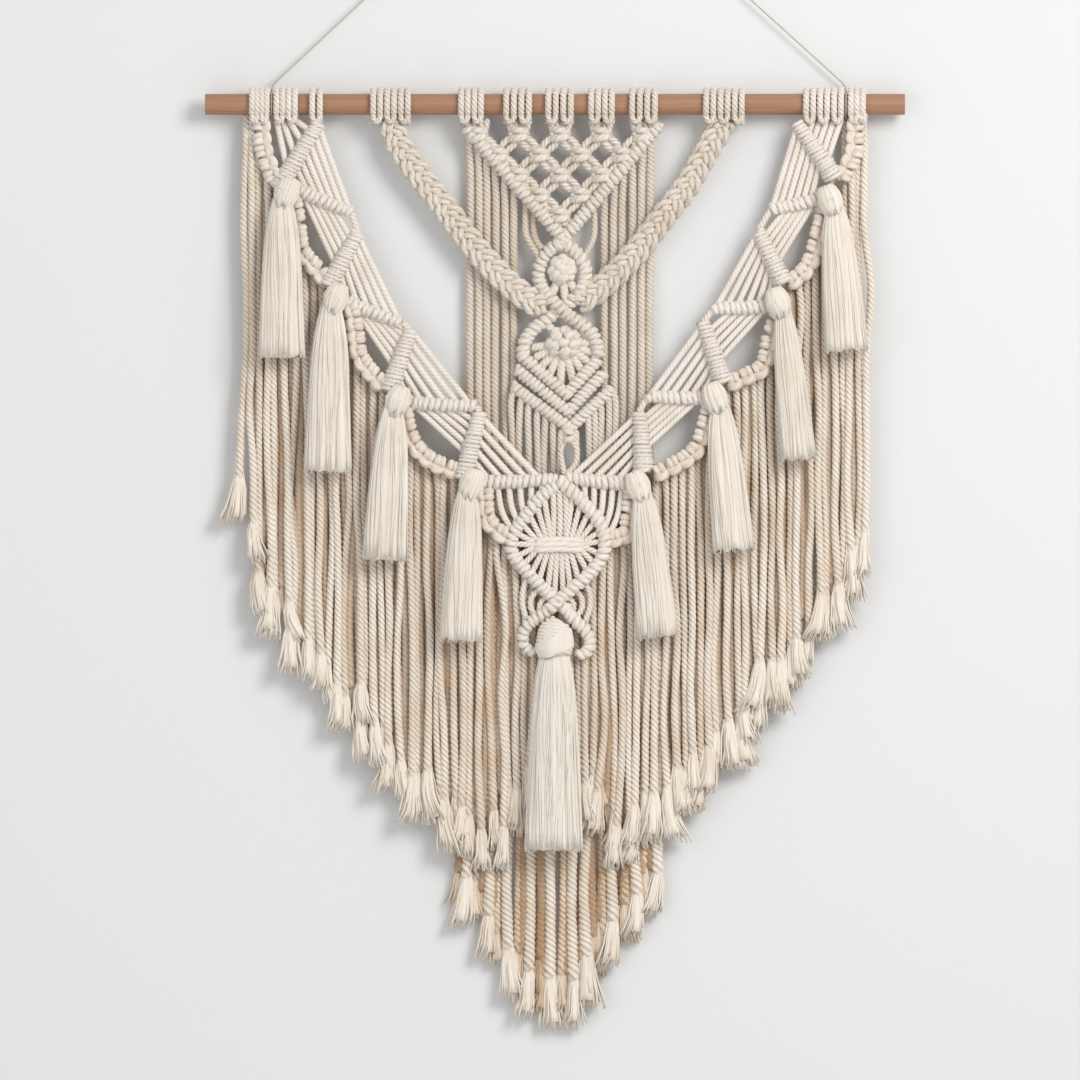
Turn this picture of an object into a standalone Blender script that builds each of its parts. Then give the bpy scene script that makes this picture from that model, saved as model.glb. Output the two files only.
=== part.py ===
"""Macrame wall hanging on a wooden dowel.

Units in the tables are millimetres. A place is given as x (to the right of the middle), down (below
the dowel's axis) and out (in front of the wall). The frame's origin is midway between the two tied
hanging loops, on the wall, +Z up, and the front faces -Y.
"""
import math
import random
from collections import namedtuple

import bmesh
import bpy
import numpy as np
from mathutils import Matrix

MM = 0.001
GAP = 0.35  # clearance that neighbouring pieces keep

# Dowel
DOWEL_LENGTH = 560.0
DOWEL_RADIUS = 8.4
DOWEL_EDGE = 0.8
DOWEL_SIDES = 20
DOWEL_DROP = 112.0  # dowel's axis below the pins in the wall
DOWEL_OUT = 15.0

# Cotton cord, as it lies in the knots and as it hangs
CORD_RADIUS = 2.6
FAN_RADIUS = 2.5
SLING_RADIUS = 3.4  # two cords that leave the loops together
LINK_RADIUS = 3.6  # two or three cords between a bar and what it hangs from
RAIL_TAIL_RADIUS = 3.2
BAR_RADIUS = 4.6
BAR_PITCH = 11.0
BAR_SIDES = 5
BAR_VALLEY = 0.84
BEND_POINTS = 7
CHAIN_PITCH = 12.0
CHAIN_VALLEY = 0.72
SENNIT_RADIUS = 4.6
ARM_RADIUS = 4.0
CHEVRON_RADIUS = 4.3
RING_RADIUS = 4.4
TIE_RADIUS = 4.8
GATHER_RADIUS = 2.3
HOOK_RADIUS = 3.5

# Distance of each layer's middle from the wall
PANEL_OUT = 7.0
NET_OUT = 15.5
COLUMN_OUT = 16.5
PLAIT_OUT = 18.0
STRIP_OUT = 14.0
STRIP_RADIUS = 2.4
SWAG_OUT = 21.4
RING_OUT = 24.5
TASSEL_OUT = 34.0
BIG_TASSEL_OUT = 31.0
LOOP_FRONT = 17.0  # cords of the net where they leave the loops
FALL_OUT = 9.0  # column cords on their way back to the panel
FAN_BACK = 0.9  # how far cords lie behind the middle of the bars that carry them
CORDS_BACK = 1.0
TAIL_BACK = 0.4
RAIL_BACK = 0.15
CHAIN_FRONT = 0.25
STEM_BACK = 0.5
CHEVRON_FRONT = 0.5
ROSETTE_FRONT = 1.5
CROSSING = (0.3, -0.2)  # the two cords that cross in a net knot, from the net's middle
BAR_BACK_OUT = NET_OUT - 2
CORDS_OUT = SWAG_OUT - CORDS_BACK
SLING_OUT = DOWEL_OUT + 4
SIDE_CORD_OUT = DOWEL_OUT + 3
SENNIT_TOP_OUT = DOWEL_OUT + 2

# Loops on the dowel
LOOP_STEPS = 8
LOOP_FOOT = 11.6  # where cords leave the loops
LOOP_CREST = DOWEL_RADIUS + GAP + 5.0
LOOP_VALLEY = DOWEL_RADIUS + GAP + 3.6
LOOP_INSIDE = (DOWEL_RADIUS + GAP + 0.1) / math.cos(math.pi / LOOP_STEPS)

# Hanger string
STRING_RADIUS = 0.8
STRING_SLACK = 1.036  # keeps the straight steps of the turn clear of the dowel
STRING_WRAP = (DOWEL_RADIUS + GAP + STRING_RADIUS) * STRING_SLACK
STRING_TURN = (-15, 255)  # from and to, in degrees round the dowel
STRING_TURN_POINTS = 10
STRING_OUT = 6.0
STRING_RISE = ((0.0, -3.5, 5.5), (0.0, -10.5, 5.6), (0.8, -14.5, 5.8))  # aside, down, out
STRING_LEG_START = (3.5, -18.0)
STRING_LEG_SHARES = (0.0, 0.2, 0.6, 1.0)

# Square-knot net
NET_ROWS = 5
NET_MIDDLE = 4.0
NET_TOP = 23.7
NET_ACROSS = 33.0
NET_DOWN = 16.2
NET_KNOT = 5.6
NET_CORD = 3.3
NET_SLING = 6.0  # slings left and right of a knot's middle
NET_SLING_DROP = 4.0
SLANT_SLING = 0.97  # where a slanting bar's sling leaves the loops, as a share of the bar's own x
NET_FLAT = 0.85
NET_REAR_SHARE = 0.95  # size of the cords behind, of those in front
MEET_SLOPE = 0.5
MEET_DROP = 2.0

# Fringe
FRINGE_FIRST = -252.0
FRINGE_PITCH = 5.9
FRINGE_COUNT = 87
FRINGE_MIDDLE = 1.2  # the halves part here
TUFT_LENGTH = 26.0
TUFT_RADIUS = 4.2
BACK_TUFT_RADIUS = 3.6
FRINGE_RADIUS = 2.9
ROOT_RADIUS = 1.7
STRIP_END = 0.5
CUT_FRONT = (-6, 6)  # how unevenly the fringe is cut
CUT_BACK = (-6, 1)
SWAY = 1.2
SWAY_STEP = 0.35
FRONT_ROWS_OUT = (13.0, 13.9)
FRONT_TIPS_OUT = (13.7, 17.1)
BACK_FIRST = -70.4
BACK_PITCH = 6.6
BACK_COUNT = 23
BACK_ROOT = 1.5  # roots of the back fringe below the top of its backing
BACK_TIP_SHIFTS = (-1.6, 1.2)
HEM_DOWN = 328.5
HEM_HALF = 2.0
HEM_SPAN = (-73.4, 79.4)
BACKING_HEIGHT = 4.0

HEAD_STEPS = 7

# Clean-up after a union
SHORTEST_EDGE = 1.3
STRING_SHORTEST_EDGE = 0.2
LEAST_TURN = 0.75
MERGE_PASSES = 12
WELD = 1e-6
TURN_WELD = 1e-5

random.seed(11)

LoopGroup = namedtuple("LoopGroup", "piece start end loops")
LOOP_GROUPS = (
    LoopGroup("swag", -244.8, -228.2, 4),
    LoopGroup("swag", -225.4, -205.6, 4),
    LoopGroup("swag", -196.8, -185.6, 2),
    LoopGroup("panel", -148.0, -115.2, 6),
    LoopGroup("panel", -77.6, -56.8, 4),
    LoopGroup("panel", -41.6, -18.4, 5),
    LoopGroup("panel", -8.0, 15.2, 5),
    LoopGroup("panel", 26.4, 48.0, 4),
    LoopGroup("panel", 59.2, 82.4, 5),
    LoopGroup("panel", 118.4, 152.0, 7),
    LoopGroup("swag", 198.4, 231.4, 7),
    LoopGroup("swag", 234.2, 248.8, 3),
)

# One motif of the swag: a slanting bar from top to foot, a level rail, and a chain of knots round an
# open lens, from chain_start past chain_corner to chain_end. Every place is (x, down).
Motif = namedtuple("Motif", "top foot rail_in rail_out chain_start chain_corner chain_end")
LEFT_MOTIFS = (
    Motif((-188.8, 14.9), (-222.4, 68.5), (-212.0, 64.5), (-163.2, 86.1),
          (-209.6, 73.3), (-208.8, 126.1), (-181.6, 142.9)),
    Motif((-157.6, 102.9), (-182.4, 146.1), (-173.6, 154.1), (-122.4, 174.9),
          (-162.4, 158.9), (-162.4, 210.9), (-137.6, 226.1)),
    Motif((-115.2, 179.7), (-132.8, 229.3), (-126.4, 237.3), (-64.0, 241.3),
          (-121.6, 241.3), (-120.0, 286.1), (-80.0, 294.1)),
    Motif((-60.0, 246.1), (-73.6, 299.7), (-66.4, 302.1), (0.8, 299.7),
          (-56.8, 305.3), (-58.4, 342.1), (-36.0, 348.5)),
)
RIGHT_MOTIFS = (
    Motif((193.6, 14.9), (224.8, 60.1), (216.8, 73.7), (172.8, 83.7),
          (219.2, 77.5), (210.4, 134.1), (188.0, 143.7)),
    Motif((162.4, 101.3), (183.2, 143.7), (180.0, 160.1), (127.2, 162.9),
          (180.8, 162.5), (172.0, 218.9), (139.2, 223.7)),
    Motif((118.4, 174.9), (135.2, 223.7), (124.8, 234.5), (74.4, 233.3),
          (125.6, 238.3), (120.0, 286.1), (80.0, 295.3)),
    Motif((67.2, 246.1), (71.2, 293.3), (63.2, 303.3), (7.2, 298.1),
          (63.2, 306.5), (63.2, 348.5), (40.8, 348.5)),
)

# A tassel: the top of its head, how far the head stands in front of the wall, the middle of its cut end
Tassel = namedtuple("Tassel", "name x down head_out end_x end_down width")
TASSELS = (
    Tassel("tassel_left_1", -218.4, 68.0, 31.9, -218.4, 200.5, 36.0),
    Tassel("tassel_left_2", -179.2, 152.5, 31.2, -181.6, 292.5, 37.0),
    Tassel("tassel_left_3", -129.6, 234.5, 32.1, -136.0, 362.9, 35.0),
    Tassel("tassel_left_4", -70.4, 301.0, 31.1, -75.2, 427.7, 33.0),
    Tassel("tassel_right_1", 224.0, 74.0, 32.5, 233.6, 195.7, 33.0),
    Tassel("tassel_right_2", 182.4, 156.0, 33.0, 195.2, 282.9, 27.0),
    Tassel("tassel_right_3", 132.0, 232.0, 31.1, 143.2, 355.7, 32.0),
    Tassel("tassel_right_4", 70.4, 303.0, 31.3, 82.4, 424.5, 32.0),
)
Head = namedtuple("Head", "radius tall depth_share")
TASSEL_HEAD = Head(8.6, 15.0, 0.93)
BIG_TASSEL_HEAD = Head(13.6, 31.0, 0.72)
HEAD_PROFILE = ((0.45, -0.10), (1.0, 0.16), (0.86, 0.38), (1.0, 0.6), (0.62, 1.0))  # radius, height
Skirt = namedtuple("Skirt", "half_depth locks lock_radius")
TASSEL_SKIRT = Skirt(4.6, 8, 3.4)
BIG_TASSEL_SKIRT = Skirt(8.0, 14, 4.2)
SKIRT_EDGE = 2.6  # the locks' middles from the skirt's edge
BIG_TASSEL_TOP = (0.4, 406.5)
BIG_TASSEL_END = (-0.8, 594.9)
BIG_TASSEL_HALF = 20.5
NECK_SHARE = 0.82  # of the head's height, where the locks start
NECK_WIDTH = 0.52
NECK_DEPTH = 0.5
NECK_LOCK = 0.55
SWELL_SHARE = 0.3  # of the way down, where the skirt has nearly its full width
SWELL_WIDTH = 0.88

# Fringe of the swag: the strips that carry it, and where the cut ends of front and back reach, as (x, down)
LEFT_STRIP = (
    (-249.6, 54.1), (-226.4, 68.5), (-209.6, 88.5), (-201.6, 116.5), (-183.2, 146.1), (-162.4, 170.9),
    (-154.4, 202.9), (-133.6, 230.1), (-120.8, 256.5), (-100.0, 284.5), (-74.4, 300.5), (-55.2, 318.1),
    (-40.0, 348.5), (-20.0, 378.9), (-2.4, 398.1),
)
RIGHT_STRIP = (
    (5.6, 398.1), (26.4, 378.1), (40.8, 352.5), (61.6, 332.5), (76.0, 300.5), (108.0, 280.5),
    (120.8, 260.5), (136.8, 226.9), (164.0, 210.9), (174.4, 180.5), (184.0, 146.9), (204.0, 126.1),
    (213.6, 96.5), (232.0, 68.5), (252.0, 54.1),
)
FRINGE_ENDS = (
    (-252.0, 345.0), (-244.0, 404.0), (-222.0, 434.0), (-204.0, 460.0), (-164.0, 518.0), (-126.0, 567.0),
    (-92.0, 592.0), (-76.0, 602.0), (-56.0, 617.0), (-46.0, 619.0), (-38.0, 600.0), (-26.0, 580.0),
    (26.0, 580.0), (36.0, 598.0), (46.0, 617.0), (60.0, 612.0), (77.6, 597.0), (105.0, 574.0),
    (143.0, 536.0), (172.0, 495.0), (201.0, 456.0), (220.0, 429.0), (239.0, 396.0), (256.0, 371.0),
)
BACK_ENDS = (
    (-80.0, 646.0), (-68.0, 657.0), (-58.0, 682.0), (-49.0, 700.0), (-30.0, 724.0), (-10.0, 735.0),
    (4.0, 739.0), (20.0, 734.0), (38.0, 711.0), (57.0, 680.0), (80.0, 648.0),
)

# Centre column, diamond ring and plaits, as (x, down)
SLANT_LEFT = ((-68.8, 21.3), (10.4, 111.7))
SLANT_RIGHT = ((81.6, 18.1), (0.8, 114.9))
ARMS = (
    ((5.6, 108.9), (-6.4, 118.9), (-13.0, 130.9), (-12.8, 143.7), (-4.0, 154.9), (8.8, 162.9)),
    ((5.6, 108.9), (18.4, 119.9), (24.6, 132.3), (23.2, 144.5), (15.2, 154.9), (2.4, 164.1)),
    ((8.8, 162.9), (-12.0, 173.3), (-23.2, 184.5), (-27.2, 203.3)),
    ((4.0, 161.3), (23.2, 173.3), (34.4, 186.9), (36.4, 208.1)),
)
Rosette = namedtuple("Rosette", "x down radius")
ROSETTES = (Rosette(4.8, 132.5, 12.8), Rosette(7.2, 190.7, 12.5))
Chevron = namedtuple("Chevron", "left tip right")
CHEVRONS = (
    Chevron((-28.0, 201.3), (8.8, 231.7), (36.0, 206.9)),
    Chevron((-31.0, 211.0), (9.2, 244.5), (38.4, 216.5)),
    Chevron((-34.0, 225.0), (10.5, 258.1), (43.2, 229.0)),
)
LEFT_PLAIT = (
    (-131.2, 11.8), (-126.4, 28.5), (-114.4, 48.5), (-92.0, 77.3), (-71.2, 105.3), (-48.8, 131.7),
    (-28.0, 150.9), (-6.6, 160.9),
)
RIGHT_PLAIT = (
    (135.2, 11.8), (130.4, 22.1), (121.6, 36.5), (106.4, 63.7), (88.8, 86.9), (71.2, 110.1),
    (52.0, 131.7), (18.6, 158.1),
)
PLAIT_RADIUS = 10.2
PLAIT_FLAT = 0.36
PLAIT_PITCH = 16.0
PLAIT_VALLEY = 0.86
RING_LEFT = (
    (3.2, 301.7), (-9.6, 312.5), (-22.4, 327.7), (-35.2, 344.5), (-35.2, 359.7), (-20.8, 375.7),
    (-4.8, 391.7), (8.8, 402.9),
)
RING_RIGHT = (
    (3.2, 301.7), (23.2, 318.9), (39.2, 338.9), (40.0, 358.1), (29.6, 373.3), (11.2, 389.3),
    (-2.4, 401.3),
)
HOOKS = (
    ((-2.4, 398.1), (-15.2, 406.1), (-24.0, 416.5), (-25.2, 429.3), (-22.0, 441.5)),
    ((8.8, 398.1), (20.0, 408.5), (25.8, 420.5), (25.4, 431.5), (22.0, 442.1)),
)
TIE = ((-14.4, 352.5), (20.8, 352.5))
RING_RISE = (0.0, 0.2)  # on this share of its length the ring comes forward of the rails
RING_TOP_OUT = SWAG_OUT + 0.8
RING_SIDE_OUT = SWAG_OUT + 1.4
RING_POINTS = 21
RING_SIDE_POINTS = (9, 4)  # points of the ring that the outer and inner side cords run to
TIE_OUT = RING_OUT + 1
GATHER_OUT = RING_OUT - 0.6
HOOK_OUT = RING_OUT - 0.5
TIE_BOW = 0.8
TIE_SPREAD = 0.012  # share of the tie that a cord moves aside for each millimetre of its start
GATHER_SHARES = (0.22, 0.38, 0.56, 0.72, 0.88)

# Outer corners of the swag: a sennit as (x, down), and side cords as (x at the dowel, x at the strip)
Corner = namedtuple("Corner", "sennit side_cords")
LEFT_CORNER = Corner(
    ((-236.0, LOOP_FOOT), (-235.4, 24.0), (-234.0, 36.0), (-230.0, 48.0), (-223.0, 67.0)),
    ((-242.0, -250.0), (-240.0, -244.0)),
)
RIGHT_CORNER = Corner(
    ((241.0, LOOP_FOOT), (240.6, 24.0), (239.4, 36.0), (234.0, 48.0), (225.4, 59.0)),
    ((244.0, 250.0), (242.0, 245.0)),
)
SENNIT_LIFT = 1.06
SIDE_CORD_END = 51.0
BAR_SLINGS = (-190.0, 202.0)  # where the first bars leave the loops

# The share of a bar's or a rail's length that the cords on it take up
FAN_CORDS = 5
LOWER_FAN_CORDS = 3
CORNER_CORDS = 4
RING_SIDE_CORDS = 4
BAR_FAN = (0.08, 0.80)
RAIL_FAN = (0.02, 0.80)
BAR_LOWER_FAN = (0.24, 0.76)
RAIL_LOWER_FAN = (0.24, 0.80)
CORNER_FAN = (0.16, 0.72)
RING_FAN = (0.24, 0.62)
FOOT_LINK = 0.12
SLANT_LINK = 0.02

PANEL_CORDS = (
    -68.0, -60.8, -53.6, -46.4, -39.2, -32.0, 39.2, 47.2, 54.4, 61.6, 69.6, 76.0,
)
PANEL_FALL = 36.0  # on this length a cord falls from the bar back to the panel's layer
SHORT_CORDS = (
    ((-22.4, 74.3), (-22.4, 100.0), (-13.0, 122.0)),
    ((29.6, 80.0), (30.4, 102.0), (24.0, 124.0)),
)
SHORT_CORD_OUTS = (13.5, 12.5, COLUMN_OUT)
STEM = (-27.0, 36.0)  # the cord through a rosette, above and below its middle
ROSETTE_DEPTH = 6.5
ROSETTE_PETALS = 6
PETAL_SWELL = 0.1
COLUMN_CORDS = (-29.0, -21.6, -14.4, -6.0, 3.0, 19.0, 27.0, 36.0)
COLUMN_FALL = 34.0
CHEVRON_CORDS = (-17.0, 9.6, 27.0)
CHEVRON_BEND = 0.85


# ---------------------------------------------------------------- places and paths

def place(x, down, out):
    """World position in metres of a point given in the tables' millimetres."""
    return (x * MM, -out * MM, -(DOWEL_DROP + down) * MM)


def at(points, out):
    """(x, down) points with the same distance from the wall."""
    return np.array([(x, down, out) for x, down in points], float)


def smooth(points, count):
    """count points, evenly spaced, on a rounded curve through points."""
    points = np.asarray(points, float)
    if len(points) == 2:
        share = np.linspace(0, 1, count)[:, None]
        return points[0] * (1 - share) + points[1] * share
    padded = np.vstack([2 * points[0] - points[1], points, 2 * points[-1] - points[-2]])
    t = np.linspace(0, 1, 12, endpoint=False)[:, None]
    fine = []
    for a, b, c, d in zip(padded, padded[1:], padded[2:], padded[3:]):
        fine.append(0.5 * (2 * b + (c - a) * t + (2 * a - 5 * b + 4 * c - d) * t**2
                           + (3 * b - a - 3 * c + d) * t**3))
    return spread(np.vstack([*fine, points[-1:]]), count)


def spread(line, count):
    """count points, evenly spaced, along a line of points."""
    steps = np.linalg.norm(np.diff(line, axis=0), axis=1)
    run = np.concatenate([[0], np.cumsum(steps)])
    wanted = np.linspace(0, run[-1], count)
    return np.stack([np.interp(wanted, run, line[:, k]) for k in range(line.shape[1])], axis=1)


def length_of(line):
    return float(np.linalg.norm(np.diff(line, axis=0), axis=1).sum())


def between(a, b, share):
    """The point a share of the way from a to b."""
    return tuple(p + (q - p) * share for p, q in zip(a, b))


def within(span, share):
    """The value a share of the way through a span."""
    return span[0] + (span[1] - span[0]) * share


def down_at(line, x):
    """How far down a line of (x, down) points, given from left to right, lies at x."""
    return float(np.interp(x, [p[0] for p in line], [p[1] for p in line]))


# ---------------------------------------------------------------- Blender helpers

def make_material(name, colour, roughness):
    material = bpy.data.materials.new(name)
    material.use_nodes = True
    shader = material.node_tree.nodes["Principled BSDF"]
    shader.inputs["Base Color"].default_value = (*colour, 1.0)
    shader.inputs["Roughness"].default_value = roughness
    shader.inputs["Metallic"].default_value = 0.0
    return material


def add_object(name, data, collection):
    obj = bpy.data.objects.new(name, data)
    collection.objects.link(obj)
    return obj


def object_from(bm, name, collection):
    mesh = bpy.data.meshes.new(name)
    bm.to_mesh(mesh)
    bm.free()
    return add_object(name, mesh, collection)


def profile_ring(sides, guides):
    """A closed ring of straight sides, carried along a path as its section."""
    data = bpy.data.curves.new(f"section_{sides}", "CURVE")
    spline = data.splines.new("POLY")
    spline.points.add(sides - 1)
    for k, point in enumerate(spline.points):
        turn = 2 * math.pi * k / sides
        point.co = (math.cos(turn), math.sin(turn), 0, 1)
    spline.use_cyclic_u = True
    ring = add_object(f"section_{sides}", data, guides)
    ring.hide_render = True
    ring.display_type = "WIRE"
    return ring


def tube(line, radii, sides=4, flat=1.0):
    """A capped tube along a line of (x, down, out), flattened front to back by the share flat."""
    data = bpy.data.curves.new("strand", "CURVE")
    data.dimensions = "3D"
    data.bevel_mode = "OBJECT"
    data.bevel_object = SECTIONS[sides]
    data.use_fill_caps = True
    spline = data.splines.new("POLY")
    spline.points.add(len(line) - 1)
    for point, (x, down, out), radius in zip(spline.points, line, np.broadcast_to(radii, len(line))):
        px, py, pz = place(x, down, out)
        point.co = (px, py / flat, pz, 1)
        point.radius = radius * MM
    obj = add_object("strand", data, WORKSHOP)
    obj.scale = (1, flat, 1)
    return obj


def closed_mesh(obj, depsgraph):
    """The evaluated shape of an object as a welded mesh in world space."""
    mesh = bpy.data.meshes.new_from_object(obj.evaluated_get(depsgraph))
    mesh.transform(obj.matrix_world)
    bm = bmesh.new()
    bm.from_mesh(mesh)
    bmesh.ops.remove_doubles(bm, verts=bm.verts, dist=WELD)
    bmesh.ops.recalc_face_normals(bm, faces=bm.faces)
    bm.to_mesh(mesh)
    bm.free()
    mesh.materials.clear()
    return mesh


def keeps_shape(gone, kept):
    """Whether the faces round the vertex gone still face the same way once it lies on kept."""
    for face in gone.link_faces:
        if kept in face.verts:
            continue
        corners = [kept.co if vert is gone else vert.co for vert in face.verts]
        normal = (corners[1] - corners[0]).cross(corners[2] - corners[0])
        if normal.length < 1e-9 or normal.normalized().dot(face.normal) < LEAST_TURN:
            return False
    return True


def merge_short_edges(mesh, shortest):
    """Merge the two ends of each short edge that a union left, where the surface stays closed."""
    bm = bmesh.new()
    bm.from_mesh(mesh)
    bmesh.ops.triangulate(bm, faces=bm.faces)
    for _ in range(MERGE_PASSES):
        bm.normal_update()
        short = [edge for edge in bm.edges if edge.calc_length() < shortest]
        short.sort(key=lambda edge: edge.calc_length())
        busy, merged = set(), {}
        for edge in short:
            kept, gone = edge.verts
            near_kept = {e.other_vert(kept) for e in kept.link_edges}
            near_gone = {e.other_vert(gone) for e in gone.link_edges}
            if len(near_kept & near_gone) != 2 or busy & (near_kept | near_gone):
                continue
            if not keeps_shape(gone, kept):
                kept, gone = gone, kept
                if not keeps_shape(gone, kept):
                    continue
            merged[gone] = kept
            busy |= near_kept | near_gone
        if not merged:
            break
        bmesh.ops.weld_verts(bm, targetmap=merged)
    bm.to_mesh(mesh)
    bm.free()


def fuse(name, pieces, material, shortest=SHORTEST_EDGE):
    """Join the pieces into one solid by a Boolean union."""
    bpy.context.view_layer.update()
    depsgraph = bpy.context.evaluated_depsgraph_get()
    meshes = [closed_mesh(piece, depsgraph) for piece in pieces]
    for piece in pieces:
        bpy.data.objects.remove(piece)
    body = add_object(name, meshes[0], HANGING)
    if len(meshes) > 1:
        others = bpy.data.collections.new(name + "_strands")
        WORKSHOP.children.link(others)
        for mesh in meshes[1:]:
            add_object("strand", mesh, others)
        union = body.modifiers.new("union", "BOOLEAN")
        union.operation = "UNION"
        union.operand_type = "COLLECTION"
        union.collection = others
        union.solver = "EXACT"
        bpy.context.view_layer.update()
        joined = bpy.data.meshes.new_from_object(body.evaluated_get(bpy.context.evaluated_depsgraph_get()))
        body.modifiers.clear()
        body.data = joined
        merge_short_edges(joined, shortest * MM)
        for other in list(others.objects):
            bpy.data.objects.remove(other)
        bpy.data.collections.remove(others)
    body.data.materials.clear()
    body.data.materials.append(material)
    return body


# ---------------------------------------------------------------- parts of a knotted piece

def strand(line, radius=CORD_RADIUS):
    """A plain hanging or stretched cord."""
    return tube(line, radius, sides=3)


def ridged(line, radius, pitch, valley, sides=BAR_SIDES, flat=1.0):
    """A bar whose wraps show as ridges, one every pitch."""
    ridges = max(2, round(length_of(np.asarray(line)) / pitch))
    path = smooth(line, 2 * ridges + 1)
    radii = [radius * (valley if k % 2 == 0 else 1.0) for k in range(2 * ridges + 1)]
    return tube(path, radii, sides, flat)


def loop_group(group):
    """Lark's-head loops side by side: a ridged sleeve turned about the dowel's axis."""
    bm = bmesh.new()
    pairs = math.ceil(group.loops / 2)
    width = (group.end - group.start) / pairs
    outline = [(group.start, LOOP_INSIDE)]
    for k in range(pairs):
        outline.append((group.start + width * k, LOOP_VALLEY))
        outline.append((group.start + width * (k + 0.5), LOOP_CREST))
    outline += [(group.end, LOOP_VALLEY), (group.end, LOOP_INSIDE)]
    ring = [bm.verts.new((x * MM, 0, radius * MM)) for x, radius in outline]
    for a, b in zip(ring, ring[1:] + ring[:1]):
        bm.edges.new((a, b))
    sleeve = object_from(bm, "loops", WORKSHOP)
    sleeve.location = place(0, 0, DOWEL_OUT)
    turn = sleeve.modifiers.new("turn", "SCREW")
    turn.axis = "X"
    turn.steps = LOOP_STEPS
    turn.render_steps = LOOP_STEPS
    turn.use_merge_vertices = True
    turn.merge_threshold = TURN_WELD
    return sleeve


def ball(x, down, out, size, petals=0):
    """A knot as a small ball; with petals, a rosette of rolled cords."""
    bm = bmesh.new()
    if petals:
        bmesh.ops.create_uvsphere(bm, u_segments=2 * petals, v_segments=5, radius=1)
        for vert in bm.verts:
            turn = math.atan2(vert.co.y, vert.co.x)
            swell = 1 + PETAL_SWELL * math.cos(petals * turn)
            vert.co.x *= swell
            vert.co.y *= swell
        bmesh.ops.rotate(bm, verts=bm.verts, matrix=FACING, cent=(0, 0, 0))
    else:
        bmesh.ops.create_icosphere(bm, subdivisions=1, radius=1)
    bmesh.ops.scale(bm, verts=bm.verts, vec=[s * MM for s in size])
    knot = object_from(bm, "knot", WORKSHOP)
    knot.location = place(x, down, out)
    return knot


def box(x0, x1, down0, down1, out0, out1):
    """A straight strip."""
    bm = bmesh.new()
    bmesh.ops.create_cube(bm, size=1)
    low, high = place(x0, down1, out1), place(x1, down0, out0)
    bmesh.ops.scale(bm, verts=bm.verts, vec=[b - a for a, b in zip(low, high)])
    strip = object_from(bm, "strip", WORKSHOP)
    strip.location = [(a + b) / 2 for a, b in zip(low, high)]
    return strip


# ---------------------------------------------------------------- the pieces

def build_dowel():
    bm = bmesh.new()
    bmesh.ops.create_cone(bm, cap_ends=True, segments=DOWEL_SIDES, radius1=DOWEL_RADIUS * MM,
                          radius2=DOWEL_RADIUS * MM, depth=DOWEL_LENGTH * MM)
    for vert in bm.verts:
        vert.co.x, vert.co.z = vert.co.z, -vert.co.x
    dowel = object_from(bm, "dowel", HANGING)
    dowel.location = place(0, 0, DOWEL_OUT)
    edges = dowel.modifiers.new("eased_ends", "BEVEL")
    edges.width = DOWEL_EDGE * MM
    edges.segments = 1
    edges.limit_method = "ANGLE"
    dowel.data.materials.append(WOOD)


def string_route(side):
    """One leg of the hanger string: round the dowel between two loops, then straight to its knot."""
    x = side.ring_x
    wrap = [(x, -STRING_WRAP * math.cos(turn), DOWEL_OUT + STRING_WRAP * math.sin(turn))
            for turn in np.radians(np.linspace(*STRING_TURN, STRING_TURN_POINTS))]
    rise = [(x + side.lean * aside, down, out) for aside, down, out in STRING_RISE]
    start = (x + side.lean * STRING_LEG_START[0], STRING_LEG_START[1], STRING_OUT)
    leg = [between(start, (*side.knot, STRING_OUT), share) for share in STRING_LEG_SHARES]
    return wrap + rise + leg


StringSide = namedtuple("StringSide", "name ring_x lean knot")
STRING_SIDES = (
    StringSide("left", -226.8, 1.0, (-134.4, -101.1)),
    StringSide("right", 232.8, -1.0, (137.4, -101.1)),
)
KNOT_RADIUS = 2.3
EYE_RADIUS = 5.2
EYE_STRETCH = 1.25
EYE_IN_KNOT = 1.2


def build_hanger_string(side):
    route = np.array(string_route(side))
    pull = route[-1] - route[-2]
    pull /= np.linalg.norm(pull)
    route[-1] -= pull * (KNOT_RADIUS + GAP)
    data = bpy.data.curves.new(f"hanger_string_{side.name}", "CURVE")
    data.dimensions = "3D"
    data.bevel_depth = STRING_RADIUS * MM
    data.bevel_resolution = 2
    data.use_fill_caps = True
    spline = data.splines.new("POLY")
    spline.points.add(len(route) - 1)
    for point, (x, down, out) in zip(spline.points, route):
        point.co = (*place(x, down, out), 1)
    fuse(f"hanger_string_{side.name}", [add_object("string", data, WORKSHOP)], STRING)
    build_hanger_loop(side, pull)


def build_hanger_loop(side, pull):
    """The tied loop on the end of a leg, its eye facing the wall so that it slips over a pin."""
    lean = math.atan2(pull[0], -pull[1])
    reach = KNOT_RADIUS + EYE_RADIUS * EYE_STRETCH - EYE_IN_KNOT
    x, down = side.knot[0] + pull[0] * reach, side.knot[1] + pull[1] * reach
    bpy.ops.mesh.primitive_torus_add(
        major_segments=12, minor_segments=5, major_radius=EYE_RADIUS * MM, minor_radius=STRING_RADIUS * MM,
        location=place(x, down, STRING_OUT), rotation=(math.pi / 2, 0, 0))
    eye = bpy.context.active_object
    eye.data.transform(STRETCH)
    eye.rotation_euler = (math.pi / 2, lean, 0)
    eye.rotation_mode = "XYZ"
    knot = ball(*side.knot, STRING_OUT, (KNOT_RADIUS,) * 3)
    fuse(f"hanger_loop_{side.name}", [knot, eye], STRING, shortest=STRING_SHORTEST_EDGE)


def net_knot(row, column):
    return (NET_MIDDLE + (column - (NET_ROWS - 1 - row) / 2) * NET_ACROSS, NET_TOP + row * NET_DOWN)


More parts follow.
